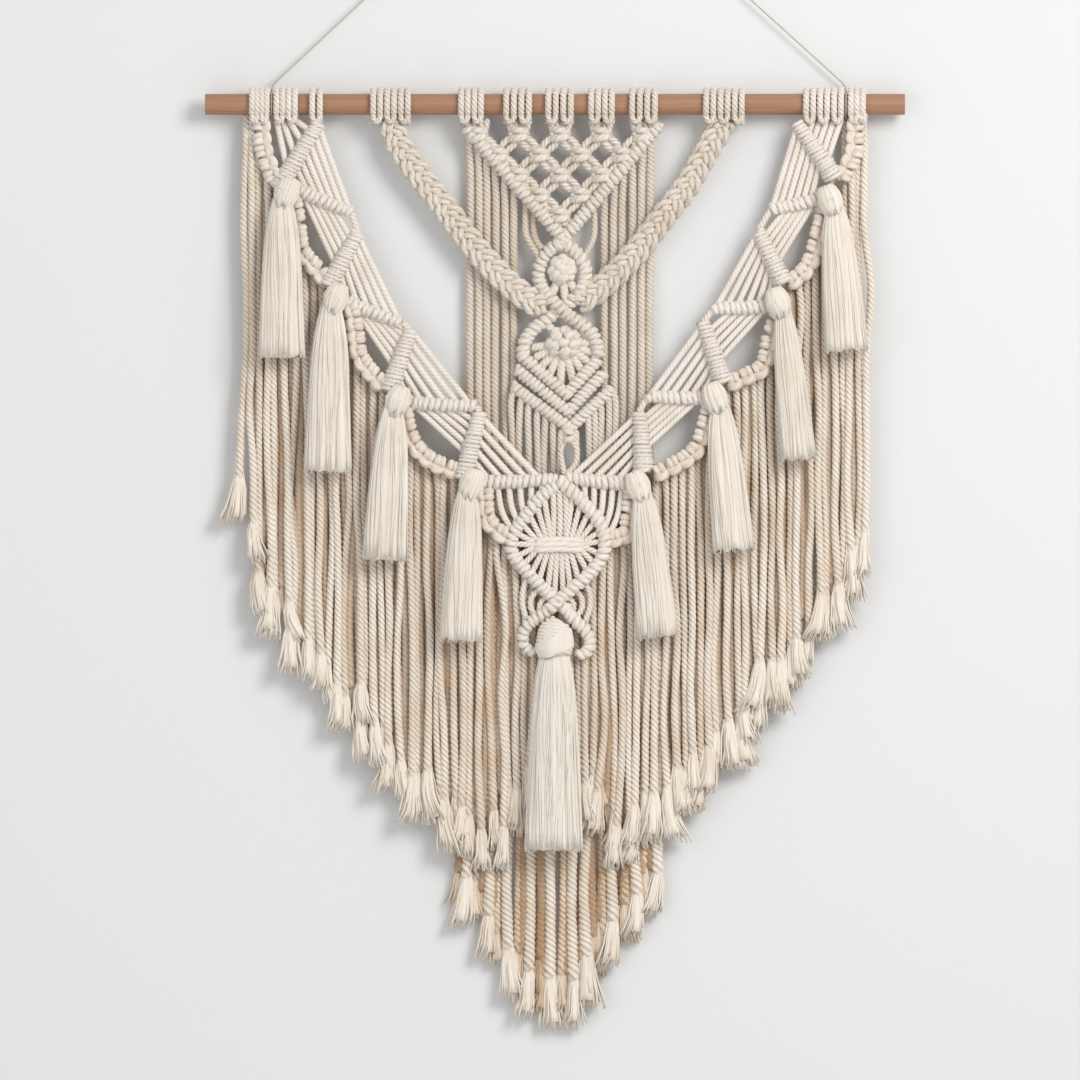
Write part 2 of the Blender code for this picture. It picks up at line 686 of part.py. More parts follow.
def meet_bar(knot, bar):
    """Where a net cord that leaves its last knot at a slant runs into a slanting bar."""
    x, down = knot
    (top_x, top_down), (foot_x, foot_down) = bar
    aside = abs(x - (top_x + (foot_x - top_x) * (down - top_down) / (foot_down - top_down)))
    reach = down + MEET_SLOPE * aside + MEET_DROP
    return between(*bar, (reach - top_down) / (foot_down - top_down))


def net_cord(start, step):
    """One cord of the net: from its loop group it slants down through a knot in each row."""
    column, path, radii = start, [], []
    for row in range(NET_ROWS):
        if not 0 <= column < NET_ROWS - row:
            break
        knot = net_knot(row, column)
        if path:
            path.append(between(path[-1], knot, 0.5))
            radii.append(NET_CORD)
        path.append(knot)
        radii.append(NET_KNOT)
        column += step
    path.append(meet_bar(path[-1], SLANT_RIGHT if step == 0 else SLANT_LEFT))
    radii.append(NET_CORD)
    return path, radii


def net_pieces():
    """Alternating square knots in a triangle, tied where the slanting cords cross."""
    made = []
    for start in range(NET_ROWS):
        x, down = net_knot(0, start)
        for side in (-NET_SLING, NET_SLING):
            sling = [(x + side, LOOP_FOOT, LOOP_FRONT), (x, down + NET_SLING_DROP, NET_OUT)]
            made.append(strand(sling, SLING_RADIUS))
        for step, shift, swell in zip((0, -1), CROSSING, (1.0, NET_REAR_SHARE)):
            path, radii = net_cord(start, step)
            made.append(tube(at(path, NET_OUT + shift), [radius * swell for radius in radii], flat=NET_FLAT))
    return made


def panel_pieces():
    """Net, slanting bars, straight cords and the hem that they end in."""
    made = [loop_group(group) for group in LOOP_GROUPS if group.piece == "panel"]
    made += net_pieces()
    for ends in (SLANT_LEFT, SLANT_RIGHT):
        made.append(ridged(at(ends, NET_OUT), BAR_RADIUS, BAR_PITCH, BAR_VALLEY))
        sling = [(*between(*ends, SLANT_LINK), NET_OUT), (ends[0][0] * SLANT_SLING, LOOP_FOOT, LOOP_FRONT)]
        made.append(strand(sling, SLING_RADIUS))
    for x in PANEL_CORDS:
        bar = SLANT_LEFT if x < 0 else tuple(reversed(SLANT_RIGHT))
        top = down_at(bar, x)
        cord = [(x, top, BAR_BACK_OUT), (x, top + PANEL_FALL, PANEL_OUT), (x, HEM_DOWN, PANEL_OUT)]
        made.append(strand(cord))
    for cord in SHORT_CORDS:
        made.append(strand([(x, down, out) for (x, down), out in zip(cord, SHORT_CORD_OUTS)]))
    made.append(box(*HEM_SPAN, HEM_DOWN - HEM_HALF, HEM_DOWN + HEM_HALF,
                    PANEL_OUT - HEM_HALF, PANEL_OUT + HEM_HALF))
    return made


def column_pieces():
    """Rosettes, the arms round them, the chevrons and the cords below."""
    made = []
    for line in ARMS:
        made.append(tube(smooth(at(line, COLUMN_OUT), BEND_POINTS), ARM_RADIUS, sides=BAR_SIDES))
    for rosette in ROSETTES:
        size = (rosette.radius, ROSETTE_DEPTH, rosette.radius)
        made.append(ball(rosette.x, rosette.down, COLUMN_OUT + ROSETTE_FRONT, size, petals=ROSETTE_PETALS))
        stem = [(rosette.x, rosette.down + STEM[0], COLUMN_OUT - STEM_BACK),
                (rosette.x + 1, rosette.down + STEM[1], COLUMN_OUT - STEM_BACK)]
        made.append(strand(stem, ARM_RADIUS))
    for chevron in CHEVRONS:
        line = (chevron.left, between(chevron.left, chevron.tip, CHEVRON_BEND), chevron.tip,
                between(chevron.right, chevron.tip, CHEVRON_BEND), chevron.right)
        made.append(ridged(at(line, COLUMN_OUT + CHEVRON_FRONT), CHEVRON_RADIUS, BAR_PITCH, BAR_VALLEY))
    top, low = CHEVRONS[0], CHEVRONS[-1]
    for x in COLUMN_CORDS:
        end = down_at((low.left, low.tip, low.right), x)
        cord = [(x, end, COLUMN_OUT), (x, end + COLUMN_FALL, FALL_OUT), (x, HEM_DOWN, PANEL_OUT)]
        made.append(strand(cord))
    for x in CHEVRON_CORDS:
        start = down_at((top.left, top.tip, top.right), x)
        end = down_at((low.left, low.tip, low.right), x)
        made.append(strand([(x, start, COLUMN_OUT), (x, end, COLUMN_OUT)]))
    return made


def plait_pieces():
    made = []
    for line in (LEFT_PLAIT, RIGHT_PLAIT):
        made.append(ridged(at(line, PLAIT_OUT), PLAIT_RADIUS, PLAIT_PITCH, PLAIT_VALLEY, flat=PLAIT_FLAT))
    return made


def motif_pieces(motif, above):
    """One motif of the swag, and the cords that come down to it from the motif above."""
    rail = (motif.rail_in, motif.rail_out)
    chain = bezier(motif.chain_start, motif.chain_corner, motif.chain_end)
    made = [
        ridged(at((motif.top, motif.foot), SWAG_OUT), BAR_RADIUS, BAR_PITCH, BAR_VALLEY),
        ridged(at(rail, SWAG_OUT - RAIL_BACK), BAR_RADIUS, BAR_PITCH, BAR_VALLEY),
        ridged(at(chain, SWAG_OUT + CHAIN_FRONT), BAR_RADIUS, CHAIN_PITCH, CHAIN_VALLEY),
        strand([(*motif.foot, SWAG_OUT), (*between(*rail, FOOT_LINK), SWAG_OUT)], LINK_RADIUS),
    ]
    for share in np.linspace(0, 1, FAN_CORDS):
        start = between(motif.top, motif.foot, within(BAR_FAN, share))
        end = between(motif.rail_out, motif.rail_in, within(RAIL_FAN, share))
        made.append(strand([(*start, SWAG_OUT - FAN_BACK), (*end, SWAG_OUT - FAN_BACK)], FAN_RADIUS))
    if above:
        tail = [(*above.rail_out, SWAG_OUT - TAIL_BACK), (*motif.top, SWAG_OUT - TAIL_BACK)]
        made.append(strand(tail, RAIL_TAIL_RADIUS))
        for share in np.linspace(0, 1, LOWER_FAN_CORDS):
            start = between(above.rail_in, above.rail_out, within(RAIL_LOWER_FAN, share))
            end = between(motif.foot, motif.top, within(BAR_LOWER_FAN, share))
            made.append(strand([(*start, CORDS_OUT), (*end, CORDS_OUT)], FAN_RADIUS))
    return made


def bezier(start, corner, end):
    """A bow from start to end, drawn towards corner."""
    t = np.linspace(0, 1, 9)[:, None]
    a, b, c = (np.array(p, float) for p in (start, corner, end))
    return (1 - t)**2 * a + 2 * t * (1 - t) * b + t**2 * c


def outer_pieces(motif, groups, corner):
    """What joins the outer loop groups to the first motif."""
    made = [loop_group(group) for group in groups]
    outs = np.linspace(SENNIT_TOP_OUT, SWAG_OUT, len(corner.sennit)) * SENNIT_LIFT
    line = [(x, down, out) for (x, down), out in zip(corner.sennit, np.minimum(outs, SWAG_OUT))]
    made.append(tube(smooth(line, BEND_POINTS), SENNIT_RADIUS, sides=6))
    for x, bottom in corner.side_cords:
        made.append(strand([(x, LOOP_FOOT, SIDE_CORD_OUT), (bottom, SIDE_CORD_END, STRIP_OUT)]))
    inner = groups[1] if motif.top[0] < 0 else groups[0]
    for share in np.linspace(0.1, 0.9, CORNER_CORDS):
        x = within((inner.start, inner.end), share)
        reach = 1 - share if motif.top[0] < 0 else share
        end = between(motif.top, motif.foot, within(CORNER_FAN, reach))
        made.append(strand([(x, LOOP_FOOT, SLING_OUT), (*end, CORDS_OUT)], FAN_RADIUS))
    return made


def ring_pieces():
    """The diamond ring in the middle, the cords gathered in it, and the hooks below it."""
    made = []
    for line in (RING_LEFT, RING_RIGHT):
        outs = np.interp(np.linspace(0, 1, len(line)), RING_RISE, (RING_TOP_OUT, RING_OUT))
        path = [(x, down, out) for (x, down), out in zip(line, outs)]
        made.append(ridged(path, RING_RADIUS, BAR_PITCH, BAR_VALLEY))
    tie_x, tie_down = between(*TIE, 0.5)
    tie = [(*TIE[0], TIE_OUT), (tie_x, tie_down - TIE_BOW, TIE_OUT + 0.5), (*TIE[1], TIE_OUT)]
    made.append(tube(tie, TIE_RADIUS, sides=6))
    for share in GATHER_SHARES:
        for line in (RING_LEFT, RING_RIGHT):
            path = smooth(at(line, GATHER_OUT), RING_POINTS)
            x, down, out = path[round(share * (RING_POINTS - 1))]
            tied = between(*TIE, 0.5 + TIE_SPREAD * (x - tie_x))
            made.append(strand([(x, down, out), (tied[0], tied[1], out)], GATHER_RADIUS))
    for line in HOOKS:
        made.append(tube(smooth(at(line, HOOK_OUT), 6), HOOK_RADIUS, sides=6))
    left, right = LEFT_MOTIFS[-1], RIGHT_MOTIFS[-1]
    for motif, line in ((left, RING_LEFT), (right, RING_RIGHT)):
        path = smooth(at(line, RING_SIDE_OUT), RING_POINTS)
        for share in np.linspace(0, 1, RING_SIDE_CORDS):
            start = between(motif.rail_in, motif.rail_out, within(RING_FAN, share))
            end = path[round(within(RING_SIDE_POINTS, share))]
            made.append(strand([(*start, CORDS_OUT), tuple(end)], FAN_RADIUS))
    return made


def build_swag():
    groups = [group for group in LOOP_GROUPS if group.piece == "swag"]
    made = outer_pieces(LEFT_MOTIFS[0], groups[:2], LEFT_CORNER)
    made += outer_pieces(RIGHT_MOTIFS[0], groups[3:], RIGHT_CORNER)
    made.append(loop_group(groups[2]))
    for motifs, x in zip((LEFT_MOTIFS, RIGHT_MOTIFS), BAR_SLINGS):
        made.append(strand([(x, LOOP_FOOT, SLING_OUT), (*motifs[0].top, SWAG_OUT)], LINK_RADIUS))
    for motifs in (LEFT_MOTIFS, RIGHT_MOTIFS):
        for above, motif in zip((None,) + motifs, motifs):
            made += motif_pieces(motif, above)
    made += ring_pieces()
    fuse("swag", made, COTTON_SWAG)


def fringe_strand(x, root_down, end_down, row, sway):
    """One hanging cord of the swag's fringe with its combed-out tip."""
    middle, tip = FRONT_ROWS_OUT[row], FRONT_TIPS_OUT[row]
    line = [(x, root_down, STRIP_OUT), (x + sway, end_down - TUFT_LENGTH, middle), (x + sway, end_down, tip)]
    return tube(line, (ROOT_RADIUS, FRINGE_RADIUS, TUFT_RADIUS), sides=3)


def build_front_fringe(name, strip, columns):
    made = [tube(at(strip, STRIP_OUT), STRIP_RADIUS)]
    for k in columns:
        x = FRINGE_FIRST + FRINGE_PITCH * k
        x_on_strip = min(max(x, strip[0][0] + STRIP_END), strip[-1][0] - STRIP_END)
        root = down_at(strip, x_on_strip)
        end = down_at(FRINGE_ENDS, x) + random.uniform(*CUT_FRONT)
        made.append(fringe_strand(x_on_strip, root, end, k % 2, SWAY * math.sin(SWAY_STEP * k)))
    fuse(name, made, COTTON_FRINGE)


def build_back_fringe():
    top = HEM_DOWN + HEM_HALF + GAP
    made = [box(*HEM_SPAN, top, top + BACKING_HEIGHT, PANEL_OUT - HEM_HALF, PANEL_OUT + HEM_HALF)]
    for k in range(BACK_COUNT):
        x = BACK_FIRST + BACK_PITCH * k
        end = down_at(BACK_ENDS, x) + random.uniform(*CUT_BACK)
        tip_out = PANEL_OUT + BACK_TIP_SHIFTS[k % 2]
        line = [(x, top + BACK_ROOT, PANEL_OUT), (x, end - TUFT_LENGTH, PANEL_OUT), (x, end, tip_out)]
        made.append(tube(line, (ROOT_RADIUS, FRINGE_RADIUS, BACK_TUFT_RADIUS), sides=3))
    fuse("fringe_back", made, COTTON_FRINGE)


def tassel_head(x, down, out, shape):
    """The wrapped head: a turned form with three wraps."""
    bm = bmesh.new()
    previous = None
    for share, height in HEAD_PROFILE:
        vert = bm.verts.new((share * shape.radius * MM, 0, -height * shape.tall * MM))
        if previous:
            bm.edges.new((previous, vert))
        previous = vert
    head = object_from(bm, "head", WORKSHOP)
    head.location = place(x, down, out)
    head.scale = (1, shape.depth_share, 1)
    turn = head.modifiers.new("turn", "SCREW")
    turn.axis = "Z"
    turn.steps = HEAD_STEPS
    turn.render_steps = HEAD_STEPS
    turn.use_merge_vertices = True
    turn.merge_threshold = TURN_WELD
    return cap_ends(head)


def cap_ends(turned):
    """The turned shape as a mesh object with its open ends filled."""
    bpy.context.view_layer.update()
    mesh = bpy.data.meshes.new_from_object(turned.evaluated_get(bpy.context.evaluated_depsgraph_get()))
    bm = bmesh.new()
    bm.from_mesh(mesh)
    bmesh.ops.remove_doubles(bm, verts=bm.verts, dist=WELD)
    bmesh.ops.holes_fill(bm, edges=[edge for edge in bm.edges if edge.is_boundary], sides=0)
    bm.to_mesh(mesh)
    bm.free()
    turned.modifiers.clear()
    turned.data = mesh
    return turned


def build_tassel(name, top, head_out, shape, end, half_width, out, skirt):
    """A wrapped head with its skirt of locks."""
    (x, down), (end_x, end_down) = top, end
    made = [tassel_head(x, down, head_out, shape)]
    neck = down + shape.tall * NECK_SHARE
    swell_x = within((x, end_x), SWELL_SHARE)
    swell_down = within((neck, end_down), SWELL_SHARE)
    radii = (skirt.lock_radius * NECK_LOCK, skirt.lock_radius, skirt.lock_radius)
    for k in range(skirt.locks):
        turn = 2 * math.pi * (k + 0.5) / skirt.locks
        across, deep = math.cos(turn), math.sin(turn) * skirt.half_depth
        line = [
            (x + across * shape.radius * NECK_WIDTH, neck, head_out + deep * NECK_DEPTH),
            (swell_x + across * half_width * SWELL_WIDTH, swell_down, out + deep),
            (end_x + across * half_width, end_down, out + deep),
        ]
        made.append(tube(line, radii, sides=3))
    fuse(name, made, COTTON_TASSEL)


def build_tassels():
    for row in TASSELS:
        build_tassel(row.name, (row.x, row.down), row.head_out, TASSEL_HEAD, (row.end_x, row.end_down),
                     row.width / 2 - SKIRT_EDGE, TASSEL_OUT, TASSEL_SKIRT)
    build_tassel("tassel_centre", BIG_TASSEL_TOP, BIG_TASSEL_OUT, BIG_TASSEL_HEAD, BIG_TASSEL_END,
                 BIG_TASSEL_HALF, BIG_TASSEL_OUT, BIG_TASSEL_SKIRT)


# ---------------------------------------------------------------- build

for leftover in list(bpy.data.objects):
    bpy.data.objects.remove(leftover)

HANGING = bpy.data.collections.new("macrame_wall_hanging")
WORKSHOP = bpy.data.collections.new("guides")
bpy.context.scene.collection.children.link(HANGING)
bpy.context.scene.collection.children.link(WORKSHOP)
SECTIONS = {sides: profile_ring(sides, WORKSHOP) for sides in (3, 4, 5, 6)}
FACING = Matrix.Rotation(math.pi / 2, 3, "X")
STRETCH = Matrix.Diagonal((1, EYE_STRETCH, 1, 1))
WOOD = make_material("dowel_wood", (0.54, 0.31, 0.20), 0.55)
STRING = make_material("hanger_string_cotton", (0.62, 0.60, 0.52), 0.85)
COTTON_PANEL = make_material("cotton_centre_panel", (0.80, 0.74, 0.64), 0.92)
COTTON_SWAG = make_material("cotton_swag", (0.84, 0.79, 0.69), 0.92)
COTTON_FRINGE = make_material("cotton_fringe", (0.80, 0.72, 0.60), 0.92)
COTTON_TASSEL = make_material("cotton_tassel", (0.88, 0.85, 0.76), 0.92)

build_dowel()
for string_side in STRING_SIDES:
    build_hanger_string(string_side)
fuse("centre_panel", panel_pieces() + column_pieces() + plait_pieces(), COTTON_PANEL)
build_swag()
halves = [k for k in range(FRINGE_COUNT) if FRINGE_FIRST + FRINGE_PITCH * k < FRINGE_MIDDLE]
build_front_fringe("fringe_left", LEFT_STRIP, halves)
build_front_fringe("fringe_right", RIGHT_STRIP, range(len(halves), FRINGE_COUNT))
build_back_fringe()
build_tassels()
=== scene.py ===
# %% [markdown]
# # A macrame wall hanging in twisted cotton cord
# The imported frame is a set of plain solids: a dowel, a string, a knotted panel, a swag with its ring,
# fringes and tassels. Here each is clothed in the cord it is really made of. One idea carries the whole
# lesson: a cord is a three-lobed outline carried along a path while it turns, and every knot is only a
# path.

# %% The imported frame, kept as it is
import math
from collections import namedtuple

import bpy
import numpy as np
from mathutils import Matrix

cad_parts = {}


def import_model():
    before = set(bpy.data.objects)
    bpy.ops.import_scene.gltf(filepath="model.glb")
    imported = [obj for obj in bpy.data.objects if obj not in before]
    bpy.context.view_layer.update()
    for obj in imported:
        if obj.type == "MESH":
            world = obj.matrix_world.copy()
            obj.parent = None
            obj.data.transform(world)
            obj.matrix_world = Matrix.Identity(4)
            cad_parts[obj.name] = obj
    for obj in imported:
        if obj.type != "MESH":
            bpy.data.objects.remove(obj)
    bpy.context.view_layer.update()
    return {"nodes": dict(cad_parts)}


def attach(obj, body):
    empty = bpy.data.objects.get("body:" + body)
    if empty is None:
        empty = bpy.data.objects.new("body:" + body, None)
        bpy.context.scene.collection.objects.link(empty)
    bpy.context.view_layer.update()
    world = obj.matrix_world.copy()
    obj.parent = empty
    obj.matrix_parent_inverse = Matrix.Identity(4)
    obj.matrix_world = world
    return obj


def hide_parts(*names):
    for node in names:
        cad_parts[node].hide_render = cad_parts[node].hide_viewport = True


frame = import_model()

MM = 0.001
rng = np.random.default_rng(7)
print("frame:", ", ".join(sorted(frame["nodes"])))

# %% [markdown]
# The hanging is seen square on, from so far away that nothing is foreshortened, so the camera has
# parallel rays. Its frame is 864 mm across at the wall, and cuts the string off just under the two knots.

# %% Camera
PICTURE_WIDTH = 864.0
PICTURE_MIDDLE = (-12.0, -460.5)
CAMERA_AWAY = 3000.0

camera_data = bpy.data.cameras.new("camera")
camera_data.type = "ORTHO"
camera_data.ortho_scale = PICTURE_WIDTH * MM
camera = bpy.data.objects.new("camera", camera_data)
camera.location = (PICTURE_MIDDLE[0] * MM, -CAMERA_AWAY * MM, PICTURE_MIDDLE[1] * MM)
camera.rotation_euler = (math.pi / 2, 0, 0)
bpy.context.scene.collection.objects.link(camera)
bpy.context.scene.camera = camera

# %% [markdown]
# Every table below gives places in millimetres, the way a maker would measure on the wall: x to the right
# of the middle, down from the dowel's axis, and out from the wall. Two helpers turn them into world
# places.

# %% Places
DOWEL_DROP = 112.0
DOWEL_OUT = 15.0
DOWEL_RADIUS = 8.4
DOWEL_GAP = 0.35  # air between the rod and what is wound round it
OUT = np.array([0.0, -1.0, 0.0])
ACROSS = np.array([1.0, 0.0, 0.0])
DOWN = np.array([0.0, 0.0, -1.0])


def world(points):
    """World places of (x, down, out) points: out runs along -Y, and down along -Z from the dowel's axis."""
    points = np.asarray(points, float)
    return np.stack([points[..., 0], -points[..., 2], -DOWEL_DROP - points[..., 1]], axis=-1)


def at(points, out):
    """World places of (x, down) points that lie at one distance from the wall, or at one distance each."""
    points = np.asarray(points, float)
    outs = np.broadcast_to(np.asarray(out, float), len(points))
    return world(np.column_stack([points, outs]))


def between(a, b, share):
    """The place a share of the way from a to b."""
    return tuple(p + (q - p) * share for p, q in zip(a, b))


# %% [markdown]
# A path is drawn through a few given points as a Catmull-Rom curve, whose slope at a point is half
# the step between its neighbours, and then walked in equal steps, so that the twist of a cord stays even.

# %% Paths
FINE = 16  # points that a curve is drawn with between two given ones


def distance(path):
    """How far along the path each of its points lies: the running sum of the steps."""
    steps = np.linalg.norm(np.diff(path, axis=0), axis=1)
    return np.concatenate([[0.0], np.cumsum(steps)])


def walk_along(path, field, run):
    """The values that a field, given for each point of a path, has at the distances run along it."""
    return np.stack([np.interp(run, distance(path), field[:, k]) for k in range(3)], axis=1)


def walk(path, run):
    """The places at the distances run along a path."""
    return walk_along(path, path, run)


def rounded(points, step):
    """Points a step apart on the Catmull-Rom curve through the given ones."""
    points = np.asarray(points, float)
    first, last = 2 * points[:1] - points[1:2], 2 * points[-1:] - points[-2:-1]
    padded = np.vstack([first, points, last])
    a, b, c, d = (padded[k:len(padded) - 3 + k, None] for k in range(4))
    t = np.linspace(0, 1, FINE, endpoint=False)[None, :, None]
    curve = b + (c - a) * t / 2 + (2 * a - 5 * b + 4 * c - d) * t**2 / 2 + (3 * b - a - 3 * c + d) * t**3 / 2
    curve = np.vstack([curve.reshape(-1, 3), points[-1:]])
    length = distance(curve)[-1]
    return walk(curve, np.linspace(0, length, max(3, round(length / step) + 1)))


def directions(path, reference):
    """Unit vectors along a path, to its side and to its front. The side is square to path and reference."""
    along = np.gradient(path, axis=0)
    along /= np.linalg.norm(along, axis=1, keepdims=True) + 1e-9
    side = np.cross(along, reference)
    side /= np.linalg.norm(side, axis=1, keepdims=True) + 1e-9
    return along, side, np.cross(side, along)


# %% [markdown]
# Three-ply cotton shows three rounded plies with a groove between each two. Its outline needs only three
# points for a ply: one in the groove and two on its shoulders. The groove is remembered for each point,
# so that the material can paint shade into it, and so is a tone, because no two cords of a hank have quite
# the same colour; cords that lie in the shade of others are also given a deeper tone, as painted shade.

# %% Outlines and the sweep
Section = namedtuple("Section", "angle radius groove")
Tube = namedtuple("Tube", "grid girth along groove tone")
SHOULDER = 1.05  # makes up for the flats between the points


def ply_section(plies, valley, shade=1.0):
    """For each ply a groove point at the share valley of the radius, and two shoulders just outside it."""
    width = 2 * math.pi / plies
    angle = np.arange(plies)[:, None] * width + np.array([-1 / 2, -1 / 6, 1 / 6]) * width
    radius = np.tile([valley, SHOULDER, SHOULDER], plies)
    return Section(angle.ravel(), radius, np.tile([shade, 0.0, 0.0], plies))


def lobed_section(plies, valley, crest=0.0, shade=1.0):
    """A lighter outline for cords in the back rows: one groove point and one crest for each ply. A crest
    that counts as part groove paints the whole cord browner with painted shade, as it lies in the shade
    between its neighbours."""
    angle = np.arange(2 * plies) * math.pi / plies
    return Section(angle, np.tile([valley, SHOULDER], plies), np.tile([shade, crest], plies))


def round_section(sides):
    """A plain round outline of that many sides."""
    return Section(np.arange(sides) * 2 * math.pi / sides, np.ones(sides), np.zeros(sides))


THREE_PLY = ply_section(3, 0.84)
SOFT_PLY = ply_section(3, 0.93, 0.5)
# Outlines for the back rows, whose crests carry painted shade; the second is darker and browner still.
SHADED_PLY = lobed_section(3, 0.86, crest=0.5)
DEEP_SHADED_PLY = lobed_section(3, 0.86, crest=0.95, shade=1.5)
TWO_PLY = ply_section(2, 0.80)
SMOOTH = round_section(6)
THREAD = round_section(3)


def sweep(path, section, radius, turn=0.0, reference=OUT, flat=1.0, tone=0.0):
    """Carries a section along a path. A ring's point is path + reach * (cos(angle) * side + flat *
    sin(angle) * front), where reach is radius times the section's own share, and angle is the section's
    angle plus the turn so far. A flat below 1 presses the cord flat."""
    count = len(path)
    _, side, front = directions(path, reference)
    angle = section.angle + np.broadcast_to(turn, count)[:, None]
    reach = section.radius * np.broadcast_to(radius, count)[:, None]
    grid = (path[:, None] + (reach * np.cos(angle))[..., None] * side[:, None]
            + (flat * reach * np.sin(angle))[..., None] * front[:, None])
    groove = np.broadcast_to(section.groove, angle.shape)
    return Tube(grid, 2 * math.pi * float(np.max(radius)), distance(path), groove, tone)


# %% [markdown]
# Hundreds of tubes become one mesh. Neighbouring rings are joined by quads that are walked so as to look
# outwards, both ends are closed, and the unwrapping is in centimetres: once round the cord, and along it.

# %% Tubes to a mesh
CM_PER_MM = 0.1


def quads(rings, sides):
    """Ring and side number of each quad's corners: (i, j), (i+1, j), (i+1, j+1), (i, j+1)."""
    i, j = np.meshgrid(np.arange(rings - 1), np.arange(sides), indexing="ij")
    ring = np.stack([i, i + 1, i + 1, i], axis=-1).reshape(-1, 4)
    side = np.stack([j, j, j + 1, j + 1], axis=-1).reshape(-1, 4)
    return ring, side


def tube_corners(tube, base):
    """Vertex number, unwrapping and face sizes of one tube's corners, its two ends last."""
    rings, sides = tube.grid.shape[:2]
    ring, side = quads(rings, sides)
    walls = base + ring * sides + side % sides
    unwrap = np.stack([side / sides * tube.girth, tube.along[ring]], axis=-1) * CM_PER_MM
    ends = np.concatenate([base + np.arange(sides), base + rings * sides - 1 - np.arange(sides)])
    corners = np.concatenate([walls.ravel(), ends])
    unwrap = np.concatenate([unwrap.reshape(-1, 2), np.zeros((2 * sides, 2))])
    sizes = np.concatenate([np.full(len(walls), 4), [sides, sides]])
    return corners, unwrap, sizes


def mesh_of(name, tubes):
    """One smooth mesh in metres of all the tubes, with the point attributes groove and tone."""
    bases = np.cumsum([0] + [tube.grid.shape[0] * tube.grid.shape[1] for tube in tubes])
    corners, unwrap, sizes = zip(*(tube_corners(tube, base) for tube, base in zip(tubes, bases)))
    corners, unwrap, sizes = np.concatenate(corners), np.concatenate(unwrap), np.concatenate(sizes)
    mesh = bpy.data.meshes.new(name)
    mesh.vertices.add(int(bases[-1]))
    mesh.loops.add(len(corners))
    mesh.polygons.add(len(sizes))
    places = np.concatenate([tube.grid.reshape(-1, 3) for tube in tubes]) * MM
    mesh.vertices.foreach_set("co", places.astype(np.float32).ravel())
    mesh.loops.foreach_set("vertex_index", corners.astype(np.int32))
    mesh.polygons.foreach_set("loop_start", (np.cumsum(sizes) - sizes).astype(np.int32))
    mesh.update(calc_edges=True)
    mesh.uv_layers.new(name="UVMap").data.foreach_set("uv", unwrap.astype(np.float32).ravel())
    grooves = np.concatenate([np.ravel(tube.groove) for tube in tubes])
    tones = np.concatenate([np.full(tube.groove.size, tube.tone) for tube in tubes])
    for label, values in (("groove", grooves), ("tone", tones)):
        mesh.attributes.new(label, "FLOAT", "POINT").data.foreach_set("value", values.astype(np.float32))
    mesh.shade_smooth()
    return mesh


def make_piece(name, tubes, material, slot, *nodes):
    """An object of tubes that rides on the hanging and stands for CAD nodes."""
    mesh = mesh_of(name, tubes)
    mesh.materials.append(material)
    piece = bpy.data.objects.new(name, mesh)
    bpy.context.scene.collection.objects.link(piece)
    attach(piece, "root")
    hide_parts(*nodes)
    triangles = sum(2 * tube.groove.size for tube in tubes)
    print(f"{name}: {len(tubes)} tubes, about {triangles} triangles")
    return piece


# %% [markdown]
# Raw cotton is matt and a little furry. Its fibres run with the ply, so the streaks follow the unwrapping
# and not the room; the grooves are darkened with painted shade, and slow changes of colour come from the
# place on the piece.
# Both the cords and the combed-out tassels use this, so it is one node group with its own values in each
# material.

# %% Cotton fibre, as a node group
STREAKS_PER_CM = (26.0, 1.7, 1.0)  # round the ply, and along it
PATCHES_PER_M = 38.0
DRIFT = 0.9  # how far the patches push the tone either way


def socket(group, name, in_out, kind, value=None):
    """A named input or output of the group."""
    made = group.interface.new_socket(name=name, in_out=in_out, socket_type=kind)
    if value is not None:
        made.default_value = value


def node(tree, kind, **settings):
    """A new node of a tree with its settings and, by their names, its input values."""
    made = tree.nodes.new(kind)
    for name, value in settings.items():
        if hasattr(made, name):
            setattr(made, name, value)
        else:
            made.inputs[name.replace("_", " ")].default_value = value
    return made


def mixed(tree, factor, first, second, blend="MIX"):
    """A colour mix of two sockets by a factor, which is a number or a socket."""
    mix = node(tree, "ShaderNodeMix", data_type="RGBA", blend_type=blend)
    if isinstance(factor, float):
        mix.inputs["Factor"].default_value = factor
    else:
        tree.links.new(factor, mix.inputs["Factor"])
    tree.links.new(first, mix.inputs["A"])
    tree.links.new(second, mix.inputs["B"])
    return mix.outputs["Result"]


def maths(tree, operation, first, second):
    """One sum of two values, of which the second may be a number."""
    made = node(tree, "ShaderNodeMath", operation=operation)
    tree.links.new(first, made.inputs[0])
    if isinstance(second, float):
        made.inputs[1].default_value = second
    else:
        tree.links.new(second, made.inputs[1])
    return made.outputs[0]


